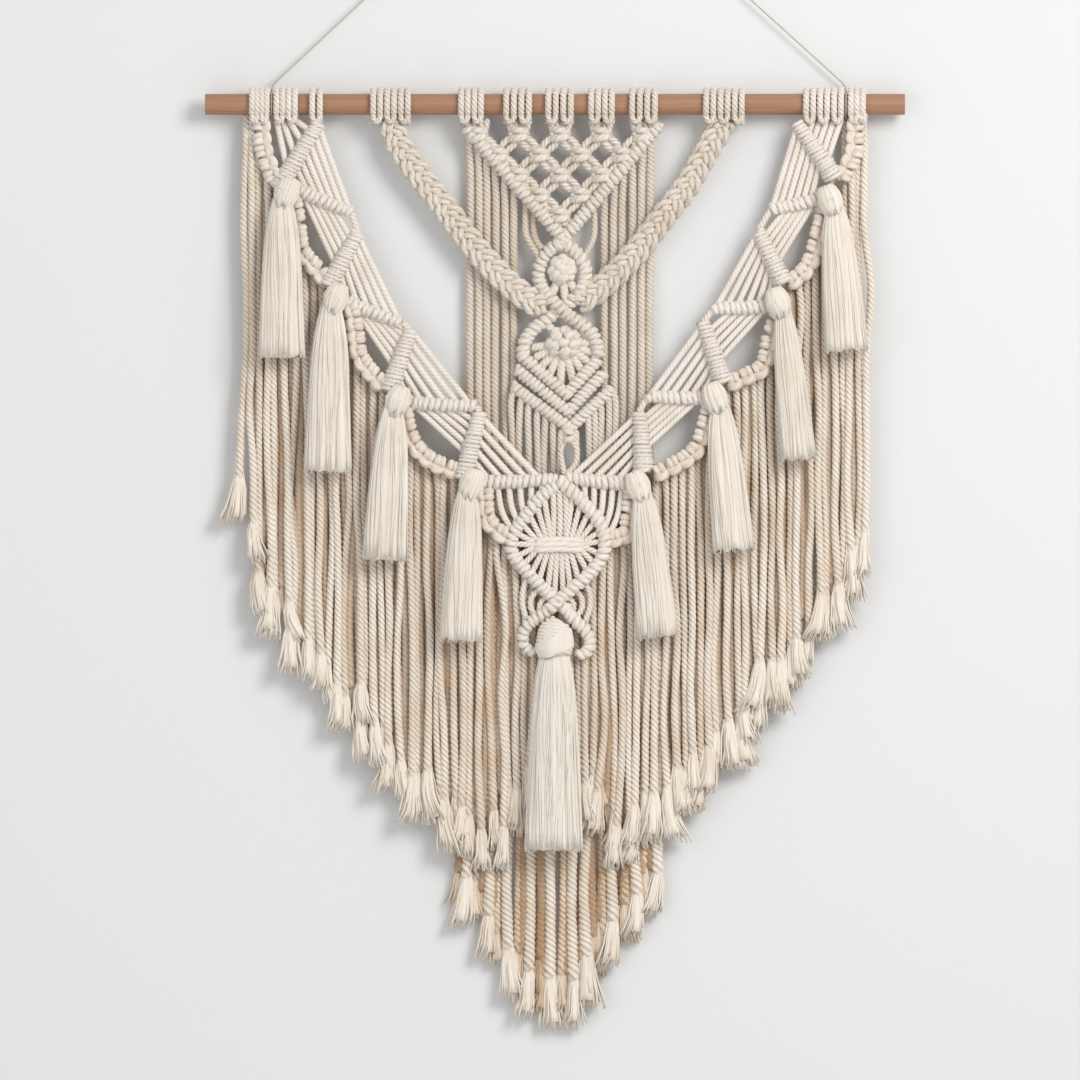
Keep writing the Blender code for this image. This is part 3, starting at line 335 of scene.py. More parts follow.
def make_fibre_group():
    """Colour: the light cotton turned to the painted shade colour by tone, to the painted groove shade by
    groove, and streaked. Height: streaks along the ply, less the groove."""
    group = bpy.data.node_groups.new("Cotton fibre", "ShaderNodeTree")
    socket(group, "Light", "INPUT", "NodeSocketColor", (0.8, 0.75, 0.68, 1))
    socket(group, "Shade", "INPUT", "NodeSocketColor", (0.5, 0.4, 0.3, 1))
    socket(group, "Groove shade", "INPUT", "NodeSocketColor", (0.4, 0.3, 0.2, 1))
    socket(group, "Groove shade strength", "INPUT", "NodeSocketFloat", 0.7)
    socket(group, "Streaks", "INPUT", "NodeSocketFloat", 0.3)
    socket(group, "Colour", "OUTPUT", "NodeSocketColor")
    socket(group, "Height", "OUTPUT", "NodeSocketFloat")
    inside = node(group, "NodeGroupInput")
    result = node(group, "NodeGroupOutput")
    groove = node(group, "ShaderNodeAttribute", attribute_name="groove").outputs["Fac"]
    tone = node(group, "ShaderNodeAttribute", attribute_name="tone").outputs["Fac"]
    unwrap = node(group, "ShaderNodeUVMap", uv_map="UVMap").outputs["UV"]
    place = node(group, "ShaderNodeTexCoord").outputs["Object"]

    stretch = node(group, "ShaderNodeMapping", Scale=STREAKS_PER_CM)
    group.links.new(unwrap, stretch.inputs["Vector"])
    streaks = node(group, "ShaderNodeTexNoise", Scale=1.0, Detail=3.0, Roughness=0.65)
    group.links.new(stretch.outputs["Vector"], streaks.inputs["Vector"])
    patches = node(group, "ShaderNodeTexNoise", Scale=PATCHES_PER_M, Detail=2.0)
    group.links.new(place, patches.inputs["Vector"])

    drift = maths(group, "MULTIPLY", maths(group, "SUBTRACT", patches.outputs["Fac"], 0.5), DRIFT)
    # The tone mixes the light cotton towards a painted shade colour: a random amount for each cord, and more
    # for cords in the shade of others.
    shaded = maths(group, "ADD", tone, drift)
    limited = node(group, "ShaderNodeClamp")
    group.links.new(shaded, limited.inputs["Value"])
    body = mixed(group, limited.outputs["Result"], inside.outputs["Light"], inside.outputs["Shade"])
    # Painted shade in the ply grooves: the groove value mixes in the groove shade colour.
    depth = maths(group, "MULTIPLY", groove, inside.outputs["Groove shade strength"])
    grooved = mixed(group, depth, body, inside.outputs["Groove shade"])
    dark = maths(group, "MULTIPLY", streaks.outputs["Fac"], inside.outputs["Streaks"])
    streaked = mixed(group, dark, grooved, inside.outputs["Groove shade"])
    group.links.new(streaked, result.inputs["Colour"])
    group.links.new(maths(group, "SUBTRACT", streaks.outputs["Fac"], groove), result.inputs["Height"])
    return group


FIBRE = make_fibre_group()


# %% Cotton materials
RELIEF_DEPTH = 0.0006  # metres from the bottom of a groove to its crest, at full strength


def srgb(red, green, blue):
    """A colour as seen on a screen, 0 to 255, as the linear values that Blender mixes."""
    share = np.array([red, green, blue]) / 255
    linear = np.where(share <= 0.04045, share / 12.92, ((share + 0.055) / 1.055) ** 2.4)
    return (*(float(value) for value in linear), 1.0)


def new_material(name):
    """A material with its node tree and its main shader."""
    material = bpy.data.materials.new(name)
    material.use_nodes = True
    return material, material.node_tree, material.node_tree.nodes["Principled BSDF"]


def make_cotton(name, light, shade, groove, groove_shade_strength=0.5, streaks=0.22, relief=0.35):
    """Matt cotton with a little sheen, whose colour and height come from the fibre group."""
    material, tree, shader = new_material(name)
    fibre = node(tree, "ShaderNodeGroup", node_tree=FIBRE)
    values = {"Light": light, "Shade": shade, "Groove shade": groove,
              "Groove shade strength": groove_shade_strength, "Streaks": streaks}
    for label, value in values.items():
        fibre.inputs[label].default_value = value
    bump = node(tree, "ShaderNodeBump", Strength=relief, Distance=RELIEF_DEPTH)
    tree.links.new(fibre.outputs["Height"], bump.inputs["Height"])
    tree.links.new(fibre.outputs["Colour"], shader.inputs["Base Color"])
    tree.links.new(bump.outputs["Normal"], shader.inputs["Normal"])
    shader.inputs["Roughness"].default_value = 0.95
    shader.inputs["Specular IOR Level"].default_value = 0.15
    shader.inputs["Sheen Weight"].default_value = 0.25
    shader.inputs["Sheen Roughness"].default_value = 0.6
    return material


# Each cotton has its light colour, a painted shade colour that the tone mixes in, and a painted shade colour
# for the ply grooves.
WARM_SHADE = srgb(214, 193, 166)
DEEP_SHADE = srgb(150, 114, 80)
COTTON_SWAG = make_cotton("cotton_swag", srgb(247, 241, 234), WARM_SHADE, srgb(178, 148, 116))
COTTON_PANEL = make_cotton("cotton_panel", srgb(241, 234, 224), srgb(206, 186, 158), srgb(160, 128, 94))
COTTON_FRINGE = make_cotton("cotton_fringe", srgb(252, 244, 231), srgb(210, 182, 148), DEEP_SHADE)
COTTON_TASSEL = make_cotton("cotton_tassel", srgb(249, 244, 236), srgb(224, 210, 188), srgb(196, 174, 146),
                            groove_shade_strength=0.6, streaks=0.4, relief=0.5)
COTTON_STRING = make_cotton("cotton_string", srgb(214, 210, 196), srgb(186, 180, 160), srgb(140, 132, 112))

# %% [markdown]
# The hanger string is two-ply and thin. Each leg goes once round the dowel between two loops, rises
# straight to a small knot just above the picture, and ends in a tied loop for a pin. Its route is the one
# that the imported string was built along, so it is measured as a cord of its real length.

# %% Hanger string
STRING_RADIUS = 0.8
STRING_LAY = 4.0
STRING_WRAP = (DOWEL_RADIUS + DOWEL_GAP + STRING_RADIUS) * 1.036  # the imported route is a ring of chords
STRING_TURNS = np.radians(np.linspace(-15, 255, 10))
STRING_OUT = 6.0
LEG_SHARES = (0.0, 0.2, 0.6, 1.0)
KNOT_RADIUS = 2.3
KNOT_CLEAR = 0.35
KNOT_WRAP = 1.35
KNOT_WRAPS = ((-1.1, 0.5), (0.0, -0.5), (1.1, 0.5))  # shift along the pull, and tilt
EYE_RADIUS = 5.2
EYE_STRETCH = 1.25
EYE_SUNK = 1.2  # how far the eye's foot lies inside the knot
StringSide = namedtuple("StringSide", "name ring_x lean knot")
STRING_SIDES = (
    StringSide("left", -226.8, 1.0, (-134.4, -101.1)),
    StringSide("right", 232.8, -1.0, (137.4, -101.1)),
)


def string_route(side):
    """World places of one leg: round the dowel, up off it, and straight to its knot."""
    x = side.ring_x
    wrap = [(x, -STRING_WRAP * math.cos(turn), DOWEL_OUT + STRING_WRAP * math.sin(turn))
            for turn in STRING_TURNS]
    rise = [(x, -3.5, 5.5), (x, -10.5, 5.6), (x + side.lean * 0.8, -14.5, 5.8)]
    first, knot = (x + side.lean * 3.5, -18.0, STRING_OUT), (*side.knot, STRING_OUT)
    leg = [between(first, knot, share) for share in LEG_SHARES]
    route = np.array(wrap + rise + leg)
    pull = (route[-1] - route[-2]) / np.linalg.norm(route[-1] - route[-2])
    route[-1] -= pull * (KNOT_RADIUS + KNOT_CLEAR)
    return world(route), world(knot), world(knot + pull) - world(knot)


def twisted(path, radius, lay, section, reference=OUT, tone=0.0, start=0.0):
    """A cord along a finished path, turning once every lay, which may change on the way."""
    turn = 2 * math.pi * np.cumsum(np.diff(distance(path), prepend=0.0) / lay) + start
    return sweep(path, section, radius, turn, reference, tone=tone)


def ring_path(centre, up, radius, stretch, count):
    """A closed eye in the plane of the wall, stretched along the pull."""
    side = np.cross(up, OUT)
    turn = np.linspace(0, 2 * math.pi, count)[:, None]
    return centre + radius * (np.sin(turn) * side - stretch * np.cos(turn) * up)


def make_string(side):
    """The leg, and at its end the knot of three tilted turns with the tied loop above it."""
    route, knot, pull = string_route(side)
    path = walk(route, np.linspace(0, distance(route)[-1], 420))
    leg = make_piece(f"string_{side.name}", [twisted(path, STRING_RADIUS, STRING_LAY, TWO_PLY, ACROSS)],
                     COTTON_STRING, "hanger_string", f"hanger_string_{side.name}")
    eye = knot + pull * (KNOT_RADIUS + EYE_RADIUS * EYE_STRETCH - EYE_SUNK)
    loops = [twisted(ring_path(eye, pull, EYE_RADIUS, EYE_STRETCH, 48), STRING_RADIUS, STRING_LAY, TWO_PLY)]
    across = np.cross(pull, OUT)
    turn = np.linspace(0, 2 * math.pi, 24)[:, None]
    for shift, tilt in KNOT_WRAPS:
        level = knot + pull * (shift + tilt * np.cos(turn))
        wrap = level + KNOT_WRAP * (np.cos(turn) * across + np.sin(turn) * OUT)
        loops.append(twisted(wrap, STRING_RADIUS, STRING_LAY, TWO_PLY, pull))
    end = make_piece(f"string_loop_{side.name}", loops, COTTON_STRING, "hanger_string",
                     f"hanger_loop_{side.name}")
    print(f"string {side.name}: {distance(route)[-1]:.1f} mm")


for string_side in STRING_SIDES:
    make_string(string_side)

# %% [markdown]
# The dowel is a plain beech rod, stained a warm reddish brown. It is a profile of its eased ends turned
# about its axis. Its grain is noise drawn out along x, so a fine streak is some forty times as long as it
# is wide.

# %% Dowel
DOWEL_LENGTH = 560.0
DOWEL_EDGE = 0.8
DOWEL_SIDES = 96
GRAIN_PER_M = (14.0, 620.0, 620.0)
BANDS_PER_M = (5.0, 60.0, 60.0)


def make_wood():
    """Stained beech: a fine streaky grain between two browns, with broad bands of a third."""
    material, tree, shader = new_material("dowel_wood")
    place = node(tree, "ShaderNodeTexCoord").outputs["Object"]
    along = node(tree, "ShaderNodeMapping", Scale=GRAIN_PER_M)
    tree.links.new(place, along.inputs["Vector"])
    grain = node(tree, "ShaderNodeTexNoise", Scale=1.0, Detail=4.0, Roughness=0.6)
    tree.links.new(along.outputs["Vector"], grain.inputs["Vector"])
    broad = node(tree, "ShaderNodeMapping", Scale=BANDS_PER_M)
    tree.links.new(place, broad.inputs["Vector"])
    bands = node(tree, "ShaderNodeTexNoise", Scale=1.0, Detail=2.0)
    tree.links.new(broad.outputs["Vector"], bands.inputs["Vector"])
    ramp = node(tree, "ShaderNodeValToRGB")
    ramp.color_ramp.elements[0].position = 0.3
    ramp.color_ramp.elements[0].color = srgb(146, 104, 76)
    ramp.color_ramp.elements[1].position = 0.7
    ramp.color_ramp.elements[1].color = srgb(180, 138, 108)
    tree.links.new(grain.outputs["Fac"], ramp.inputs["Fac"])
    tint = node(tree, "ShaderNodeRGB")
    tint.outputs[0].default_value = srgb(161, 119, 91)
    colour = mixed(tree, bands.outputs["Fac"], ramp.outputs["Color"], tint.outputs[0])
    tree.links.new(colour, shader.inputs["Base Color"])
    bump = node(tree, "ShaderNodeBump", Strength=0.15, Distance=0.0003)
    tree.links.new(grain.outputs["Fac"], bump.inputs["Height"])
    tree.links.new(bump.outputs["Normal"], shader.inputs["Normal"])
    shader.inputs["Roughness"].default_value = 0.55
    return material


def dowel_tube():
    """The rod's radius at each x: full, but for a quarter-round at each end."""
    turn = np.linspace(0, math.pi / 2, 6)
    inset, radius = DOWEL_EDGE * (1 - np.sin(turn)), DOWEL_RADIUS - DOWEL_EDGE * (1 - np.cos(turn))
    left = np.stack([-DOWEL_LENGTH / 2 + inset[::-1], radius[::-1]], axis=1)
    left = left[np.argsort(left[:, 0])]
    profile = np.vstack([left, [[0.0, DOWEL_RADIUS]], np.stack([-left[::-1, 0], left[::-1, 1]], axis=1)])
    path = world(np.stack([profile[:, 0], np.zeros(len(profile)), np.full(len(profile), DOWEL_OUT)], axis=1))
    return sweep(path, round_section(DOWEL_SIDES), profile[:, 1])


make_piece("dowel_rod", [dowel_tube()], make_wood(), "dowel_wood", "dowel")

# %% [markdown]
# A cord is the three-ply outline turning once in about twice its thickness, so it shows a stripe every
# four millimetres. The turn is that of the real cord: seen from anywhere, its stripes run down to the
# right.

# %% A single cord
CORD_RADIUS = 2.6
LAY = 11.5
CORD_STEP = LAY / 6
TONE_SPREAD = (-0.06, 0.12)


def cord(points, radius=CORD_RADIUS, tone=0.05, reference=OUT, lay=LAY, step=CORD_STEP, section=THREE_PLY):
    """A twisted cord on a rounded path through world points, with a tone and a start of its own."""
    path = rounded(points, step)
    own_tone = tone + rng.uniform(*TONE_SPREAD)
    return twisted(path, radius, lay, section, reference, own_tone, rng.uniform(0, 2 * math.pi))


# %% [markdown]
# Every cord is folded in half and hitched over the dowel. Two turns of it show over the front of the rod,
# and the fold lies across them just below as a small bow. The cords run on downwards from behind that
# bow.

# %% Loops over the dowel
MOUNT_RADIUS = DOWEL_RADIUS + DOWEL_GAP + CORD_RADIUS
MOUNT_TURNS = np.radians(np.linspace(132, -158, 15))
MOUNT_FEET = ((12.4, 13.0), (15.0, 15.5))  # down and out
FOLD_CORD = 2.4
FOLD_DOWN = (7.2, 11.4, 14.4, 11.4, 7.2)
FOLD_OUT = (23.4, 23.6, 23.8, 23.6, 23.4)
FOLD_BULGE = 0.2
HALF_FOLD = 1.4  # half the width of the bow of a single turn
LoopGroup = namedtuple("LoopGroup", "node start end cords")
LOOP_GROUPS = (
    LoopGroup("swag", -244.8, -228.2, 4),
    LoopGroup("swag", -225.4, -205.6, 4),
    LoopGroup("swag", -196.8, -185.6, 2),
    LoopGroup("centre_panel", -148.0, -115.2, 6),
    LoopGroup("centre_panel", -77.6, -56.8, 4),
    LoopGroup("centre_panel", -41.6, -18.4, 4),
    LoopGroup("centre_panel", -8.0, 15.2, 4),
    LoopGroup("centre_panel", 26.4, 48.0, 4),
    LoopGroup("centre_panel", 59.2, 82.4, 4),
    LoopGroup("centre_panel", 118.4, 152.0, 6),
    LoopGroup("swag", 198.4, 231.4, 6),
    LoopGroup("swag", 234.2, 248.8, 3),
)


def cord_places(group):
    """Middle of each cord of a group, side by side."""
    return np.linspace(group.start + CORD_RADIUS, group.end - CORD_RADIUS, group.cords)


def loop_over(x):
    """One turn over the dowel, from its front foot over the top and down the back, under and forward."""
    down, out = -MOUNT_RADIUS * np.cos(MOUNT_TURNS), DOWEL_OUT + MOUNT_RADIUS * np.sin(MOUNT_TURNS)
    ring = np.vstack([np.stack([down, out], axis=1), MOUNT_FEET])
    return cord(world(np.column_stack([np.full(len(ring), x), ring])), reference=ACROSS)


def fold_of(left, right):
    """The bow that the fold makes across the feet of its two turns."""
    across = (left, left + FOLD_BULGE, (left + right) / 2, right - FOLD_BULGE, right)
    return cord(world(np.column_stack([across, FOLD_DOWN, FOLD_OUT])), FOLD_CORD)


def mounted(group):
    """All turns of a group, a bow for each two, and a narrow one for a turn that is left over."""
    places = cord_places(group)
    made = [loop_over(x) for x in places]
    made += [fold_of(a, b) for a, b in zip(places[::2], places[1::2])]
    if group.cords % 2:
        made.append(fold_of(places[-1] - HALF_FOLD, places[-1] + HALF_FOLD))
    return made


# %% [markdown]
# A bar is a stiffly held cord with others hitched round it, so all that shows is a row of slanting wraps.
# That is a coil: a point circles the bar's line once every pitch, and a cord is carried along the point's
# way. A few waves of different length make the wraps uneven, as hands do. A plain core, deeper in tone as
# painted shade, keeps the coil from showing light between its turns.

# %% Wrapped bars
WRAP_STEPS = 12
Wrap = namedtuple("Wrap", "radius pitch cord lay")
FAT_WRAP = Wrap(5.8, 4.9, 2.7, 18.0)
CHEVRON_WRAP = Wrap(5.2, 4.2, 2.4, 18.0)
BAR_WRAP = Wrap(6.9, 3.2, 1.9, 16.0)
RAIL_WRAP = Wrap(6.0, 4.7, 2.6, 16.0)
SLIP = 0.16  # how far a wrap may slip along the bar, as a share of the pitch
LOOSENESS = 0.08  # how far it may stand off, as a share of the reach
PLY_SPREAD = (-0.04, 0.08)


def uneven(run, pitch, strength):
    """A slow uneven share about 1: two waves whose lengths don't divide each other."""
    shift = rng.uniform(0, 2 * math.pi, 2)
    waves = 0.6 * np.sin(run / pitch * 2.1 + shift[0]) + 0.4 * np.sin(run / pitch * 5.3 + shift[1])
    return 1 + strength * waves


def wrapped(line, wrap, tone=0.0, hand=1.0, swell=1.0):
    """Coil and core of a bar along a line of world places: the coil's point is path + reach * (cos(turn) *
    side + sin(turn) * front). swell is the bar's radius along its line, as shares."""
    path = rounded(line, wrap.pitch / WRAP_STEPS)
    run = distance(path)
    along, side, front = directions(path, OUT)
    slip = SLIP * wrap.pitch * (uneven(run, 2.2 * wrap.pitch, 1.0) - 1)
    turn = hand * 2 * math.pi * (run + slip) / wrap.pitch + rng.uniform(0, 2 * math.pi)
    shares = np.interp(np.linspace(0, 1, len(path)), np.linspace(0, 1, np.size(swell)), np.atleast_1d(swell))
    reach = (wrap.radius * shares - wrap.cord) * uneven(run, wrap.pitch, LOOSENESS)
    coil = path + reach[:, None] * (np.cos(turn)[:, None] * side + np.sin(turn)[:, None] * front)
    ply = twisted(coil, wrap.cord, wrap.lay, SOFT_PLY, along, tone + rng.uniform(*PLY_SPREAD))
    # The core is deeper in tone than the coil: painted shade between the turns.
    core = sweep(path[::4], SMOOTH, np.maximum(reach[::4], 0.8), tone=tone + 0.35)
    return [ply, core]


# %% [markdown]
# Square knots are tied by two working cords round two still ones. The first always crosses in front, from
# side to side and back, and the second mirrors it behind. So the first cord's place across is a cosine,
# its depth a squared sine, and it moves down mostly at the sides.

# %% Rows of square knots
Knot = namedtuple("Knot", "half_width crossing cord")
NET_KNOT = Knot(5.7, 5.0, 3.2)
NET_KNOT_HALF = 5.0
STILL_CORD = 1.9
STILL_ASIDE = 1.7
AT_THE_SIDES = 0.7  # share of the way down that is made at the sides
KNOT_SUNK = 0.4
KNOT_LAY = 14.0


def square_knots(line, knot):
    """Working and still cords of a row of square knots along a line of world places. A working cord's point
    is middle + half width * cos(phase) * side + depth * sin(phase)^2 * front."""
    path = rounded(line, knot.crossing / 10)
    run = distance(path)
    crossings = max(2, round(run[-1] / knot.crossing))
    phase = math.pi * np.linspace(0, crossings, len(path))
    pitch = run[-1] / crossings
    _, side, front = directions(path, OUT)
    middle = walk(path, np.clip(run + AT_THE_SIDES * pitch * np.sin(2 * phase) / (2 * math.pi), 0, run[-1]))
    depth = (STILL_CORD + knot.cord) * np.sin(phase)**2
    made = []
    for face in (1.0, -1.0):
        aside, ahead = face * knot.half_width * np.cos(phase), face * depth - KNOT_SUNK
        way = middle + aside[:, None] * side + ahead[:, None] * front
        made.append(twisted(way, knot.cord, KNOT_LAY, SOFT_PLY, OUT, rng.uniform(*PLY_SPREAD)))
    for across in (-STILL_ASIDE, STILL_ASIDE):
        made.append(sweep(path[::4] + across * side[::4], SMOOTH, STILL_CORD, tone=0.3))
    return made


# %% [markdown]
# The chains of the swag are tight rows of the same knot. Seen close, each knot there is one upright bead
# on one side and two short wraps on the other, with a dark line of shade between it and the next, which
# is painted shade on a core that shows between the knots. So a knot is four short cords, given by where
# they lie along the row, across it and out of it, and no two are drawn quite as tight.

# %% Chains of square knots
Chain = namedtuple("Chain", "pitch bead wrap half_width")
SWAG_CHAIN = Chain(11.2, 3.5, 2.9, 7.6)
CHAIN_CORE = 3.2
CHAIN_LAY = 30.0
CHAIN_STEP = 1.3
BEAD_RUN = np.array([0.10, 0.26, 0.5, 0.74, 0.90])  # along one knot, as shares of its pitch
BEAD_ASIDE = (0.22, 0.50, 0.58, 0.50, 0.22)
BEAD_OUT = np.array([-0.8, 2.2, 3.2, 2.2, -0.8])
WRAP_ASIDE = np.array([-0.02, -0.20, -0.48, -0.64, -0.50])
WRAP_OUT = np.array([0.6, 2.9, 3.0, 0.8, -2.2])
WRAP_RUNS = (0.30, 0.70)


def bead_chain(line, chain, hand, tone=0.0):
    """A core, and for each knot a bead before and behind and two wraps. Their places are along the row in
    pitches, across it in shares of the half width, and out of it in millimetres."""
    path = rounded(line, 1.0)
    count = max(2, round(distance(path)[-1] / chain.pitch))
    pitch = distance(path)[-1] / count
    _, side, front = directions(path, OUT)

    def place(run, aside, out):
        middle, beside, ahead = (walk_along(path, field, run) for field in (path, side, front))
        aside, out = np.reshape(aside, (-1, 1)), np.reshape(out, (-1, 1))
        return middle + hand * chain.half_width * aside * beside + out * ahead

    def short_cord(places, radius, own_tone):
        return cord(places, radius, tone=own_tone, lay=CHAIN_LAY, step=CHAIN_STEP, section=SOFT_PLY)

    # The core takes the full painted shade colour, so it shows as a dark line of shade between the knots.
    made = [sweep(place(distance(path)[::3], 0.0, -0.6), SMOOTH, CHAIN_CORE, flat=0.7, tone=tone + 1.2)]
    for knot in range(count):
        first = knot + rng.uniform(-0.05, 0.05)
        bulge, tilt = rng.uniform(0.85, 1.25), rng.uniform(-0.08, 0.22)
        for face in (1.0, -1.0):
            bead = place(pitch * (first + BEAD_RUN), BEAD_ASIDE, face * bulge * BEAD_OUT)
            made.append(short_cord(bead, chain.bead, tone - 0.05))
        for share in WRAP_RUNS:
            wrap = place(pitch * (first + share + tilt * WRAP_ASIDE), WRAP_ASIDE, bulge * WRAP_OUT)
            made.append(short_cord(wrap, chain.wrap, tone))
    return made


# %% [markdown]
# A plait is the same trick with three strands, each of two cords. A strand's place across is a sine and
# its depth a sine of twice the angle, so wherever two strands cross, one is in front and the other
# behind.

# %% Plaits
PLAIT_WIDTH = 6.2
PLAIT_DEPTH = 2.8
PLAIT_PERIOD = 34.0
PLAIT_CORD = 2.75
PLAIT_LAY = 22.0
PLAIT_PAIR = 2.3  # half the distance between the two cords of a strand
PLAIT_TONE = 0.22


def plaited(line):
    """Six cords: strand k lies at width * sin(angle) across and depth * sin(2 * angle) out, where the angle
    grows by a whole turn every period and starts a third of a turn later for each strand."""
    path = rounded(line, CORD_STEP)
    _, side, front = directions(path, OUT)
    made = []
    for strand in range(3):
        angle = 2 * math.pi * (distance(path) / PLAIT_PERIOD + strand / 3)
        aside, ahead = PLAIT_WIDTH * np.sin(angle), PLAIT_DEPTH * np.sin(2 * angle)
        way = path + aside[:, None] * side + ahead[:, None] * front
        _, beside, _ = directions(way, OUT)
        for offset in (-PLAIT_PAIR, PLAIT_PAIR):
            made.append(twisted(way + offset * beside, PLAIT_CORD, PLAIT_LAY, SOFT_PLY, OUT,
                                PLAIT_TONE + rng.uniform(-0.05, 0.1), rng.uniform(0, 2 * math.pi)))
    return made


# %% [markdown]
# The upper middle is a net: rows of square knots, each tied from the halves of two knots above, so every
# row has one knot fewer and the net narrows to a point. Two wrapped bars close it in a V, and long cords
# leave the bars with a small arch and hang straight behind everything else.

# %% Net and V of the panel
NET_ROWS = 5
NET_MIDDLE = 4.0
NET_TOP = 23.7
NET_ACROSS = 33.0
NET_DOWN = 16.2
NET_OUT = 16.5
PANEL_OUT = 7.0
HEM_DOWN = 328.5
SLANT_LEFT = ((-71.0, 18.5), (10.4, 111.7))
SLANT_RIGHT = ((83.5, 16.0), (0.8, 114.9))
SLANT_OUTS = (17.5, 18.5, 18.5)
NET_CORD = 2.85
NET_PAIR = 6.2  # between the two cords that leave a knot together
LEG_DROP = 13.0  # from a knot down to where its leg enters a bar
NET_FEET = (-7.5, -2.5, 2.5, 7.5)
NET_FOOT_CORD = 2.65


def net_place(row, column):
    """Middle of a knot; each row starts half a knot further in than the one above."""
    return (NET_MIDDLE + (column - (NET_ROWS - 1 - row) / 2) * NET_ACROSS, NET_TOP + row * NET_DOWN)


def net_knot(x, down):
    """One square knot of the net, which stands out a little in its middle."""
    ends = [(x, down + NET_KNOT_HALF * way, NET_OUT + 1.0 - 0.5 * abs(way)) for way in (-1, 0, 1)]
    return square_knots(world(ends), NET_KNOT)


def net_leg(start, end):
    """Two cords that leave a knot together, bow a little apart, and run to the next."""
    lean = 1.0 if end[0] > start[0] else -1.0
    made = []
    for beside, bow in ((0.0, 0.8), (NET_PAIR, -0.8)):
        first = (start[0] + lean * (6.8 - beside), start[1] + 3.0)
        last = (end[0] - lean * (0.8 + beside), end[1] - 3.0)
        middle = between(first, last, 0.5)
        points = [(*first, NET_OUT - 0.8), (middle[0] + lean * bow, middle[1] - bow, NET_OUT - 0.2),
                  (*last, NET_OUT - 0.8)]
        made.append(cord(world(points), NET_CORD))
    return made


def slant_at(ends, down):
    """Where a slanting bar is at that height."""
    (x0, down0), (x1, down1) = ends
    return x0 + (x1 - x0) * (down - down0) / (down1 - down0)


def net_feet(x, down):
    """The four cords of a group, from under the dowel down into the first knot."""
    made = []
    for foot in NET_FEET:
        points = [(x + foot, 12.5, 16.5), (x + foot * 0.95, 16.0, 18.0), (x + foot * 0.8, down - 2, NET_OUT)]
        made.append(cord(world(points), NET_FOOT_CORD))
    return made


def net_tubes():
    """Each knot with its legs to the two knots below it, or to a slanting bar where there is none."""
    made = []
    for row in range(NET_ROWS):
        for column in range(NET_ROWS - row):
            x, down = net_place(row, column)
            made += net_knot(x, down)
            for step, bar, inwards in ((-1, SLANT_LEFT, 2.0), (0, SLANT_RIGHT, -2.0)):
                end = (slant_at(bar, down + LEG_DROP) + inwards, down + LEG_DROP)
                if row + 1 < NET_ROWS and 0 <= column + step < NET_ROWS - row - 1:
                    end = net_place(row + 1, column + step)
                made += net_leg((x, down), end)
            if row == 0:
                made += net_feet(x, down)
    for ends in (SLANT_LEFT, SLANT_RIGHT):
        made += wrapped(at([ends[0], between(*ends, 0.5), ends[1]], SLANT_OUTS), FAT_WRAP)
    return made


# %% Long cords of the panel
PANEL_LEFT = (-68.0, -60.8, -54.4, -47.6, -40.0, -32.4)
PANEL_RIGHT = (76.0, 69.6, 61.6, 54.4, 47.2, 39.2)
PANEL_CORD = 3.15
# A deeper tone for the long cords: painted shade, as they hang behind the swag and column.
PANEL_TONE = 0.32
HEM = ((-73.0, HEM_DOWN), (79.0, HEM_DOWN))
HEM_WRAP = Wrap(4.2, 5.9, 1.9, 9.0)
SHORT_OUTS = (14.0, 11.5, 12.0, 16.0)
SHORT_CORDS = (
    ((-22.4, 74.3), (-23.6, 92.0), (-22.4, 106.0), (-13.0, 122.0)),
    ((-15.4, 84.0), (-17.0, 97.0), (-15.4, 108.0), (-10.0, 116.0)),
    ((30.4, 79.0), (31.6, 94.0), (30.4, 108.0), (22.0, 124.0)),
)


def hanging_from_bar(x, ends):
    """A panel cord: out of the bar from above, over in a small arch, and straight down to the hem."""
    (x0, down0), (x1, down1) = ends
    top = down0 + (down1 - down0) * (x - x0) / (x1 - x0)
    inwards = 1.0 if x1 > x0 else -1.0
    wave = rng.uniform(-0.7, 0.7, 4)
    points = [(x + inwards * 6.5, top + 4.5, 18.0), (x + inwards * 2.6, top + 3.0, 18.0),
              (x, top + 8.5, 14.0), (x + wave[0], top + 38, PANEL_OUT + 1),
              (x + wave[1], (top + HEM_DOWN) / 2, PANEL_OUT), (x + wave[2], HEM_DOWN - 50, PANEL_OUT),
              (x, HEM_DOWN, PANEL_OUT)]
    return cord(world(points), PANEL_CORD, tone=PANEL_TONE)


def panel_cord_tubes():
    """The long cords of both sides, the short ones beside the column, and the bar that holds them below."""
    made = [hanging_from_bar(x, SLANT_LEFT) for x in PANEL_LEFT]
    made += [hanging_from_bar(x, SLANT_RIGHT) for x in PANEL_RIGHT]
    for points in SHORT_CORDS:
        made.append(cord(at(points, SHORT_OUTS), tone=0.35))
    # The hem bar is given a deep tone: painted shade, as it lies behind the swag and fringe.
    return made + wrapped(at(HEM, PANEL_OUT), HEM_WRAP, tone=0.9)


# %% [markdown]
# Below the V a narrow column runs down: two round berry knots, each framed by wrapped bars that cross
# above and below it, and three rows of wraps in chevrons. A berry is a short row of square knots that is
# rolled up and drawn together, so all that shows of it is a ball of bulging loops. Here they are short
# arcs of cord, set in rounds over a flattened ball, each lying along its surface.

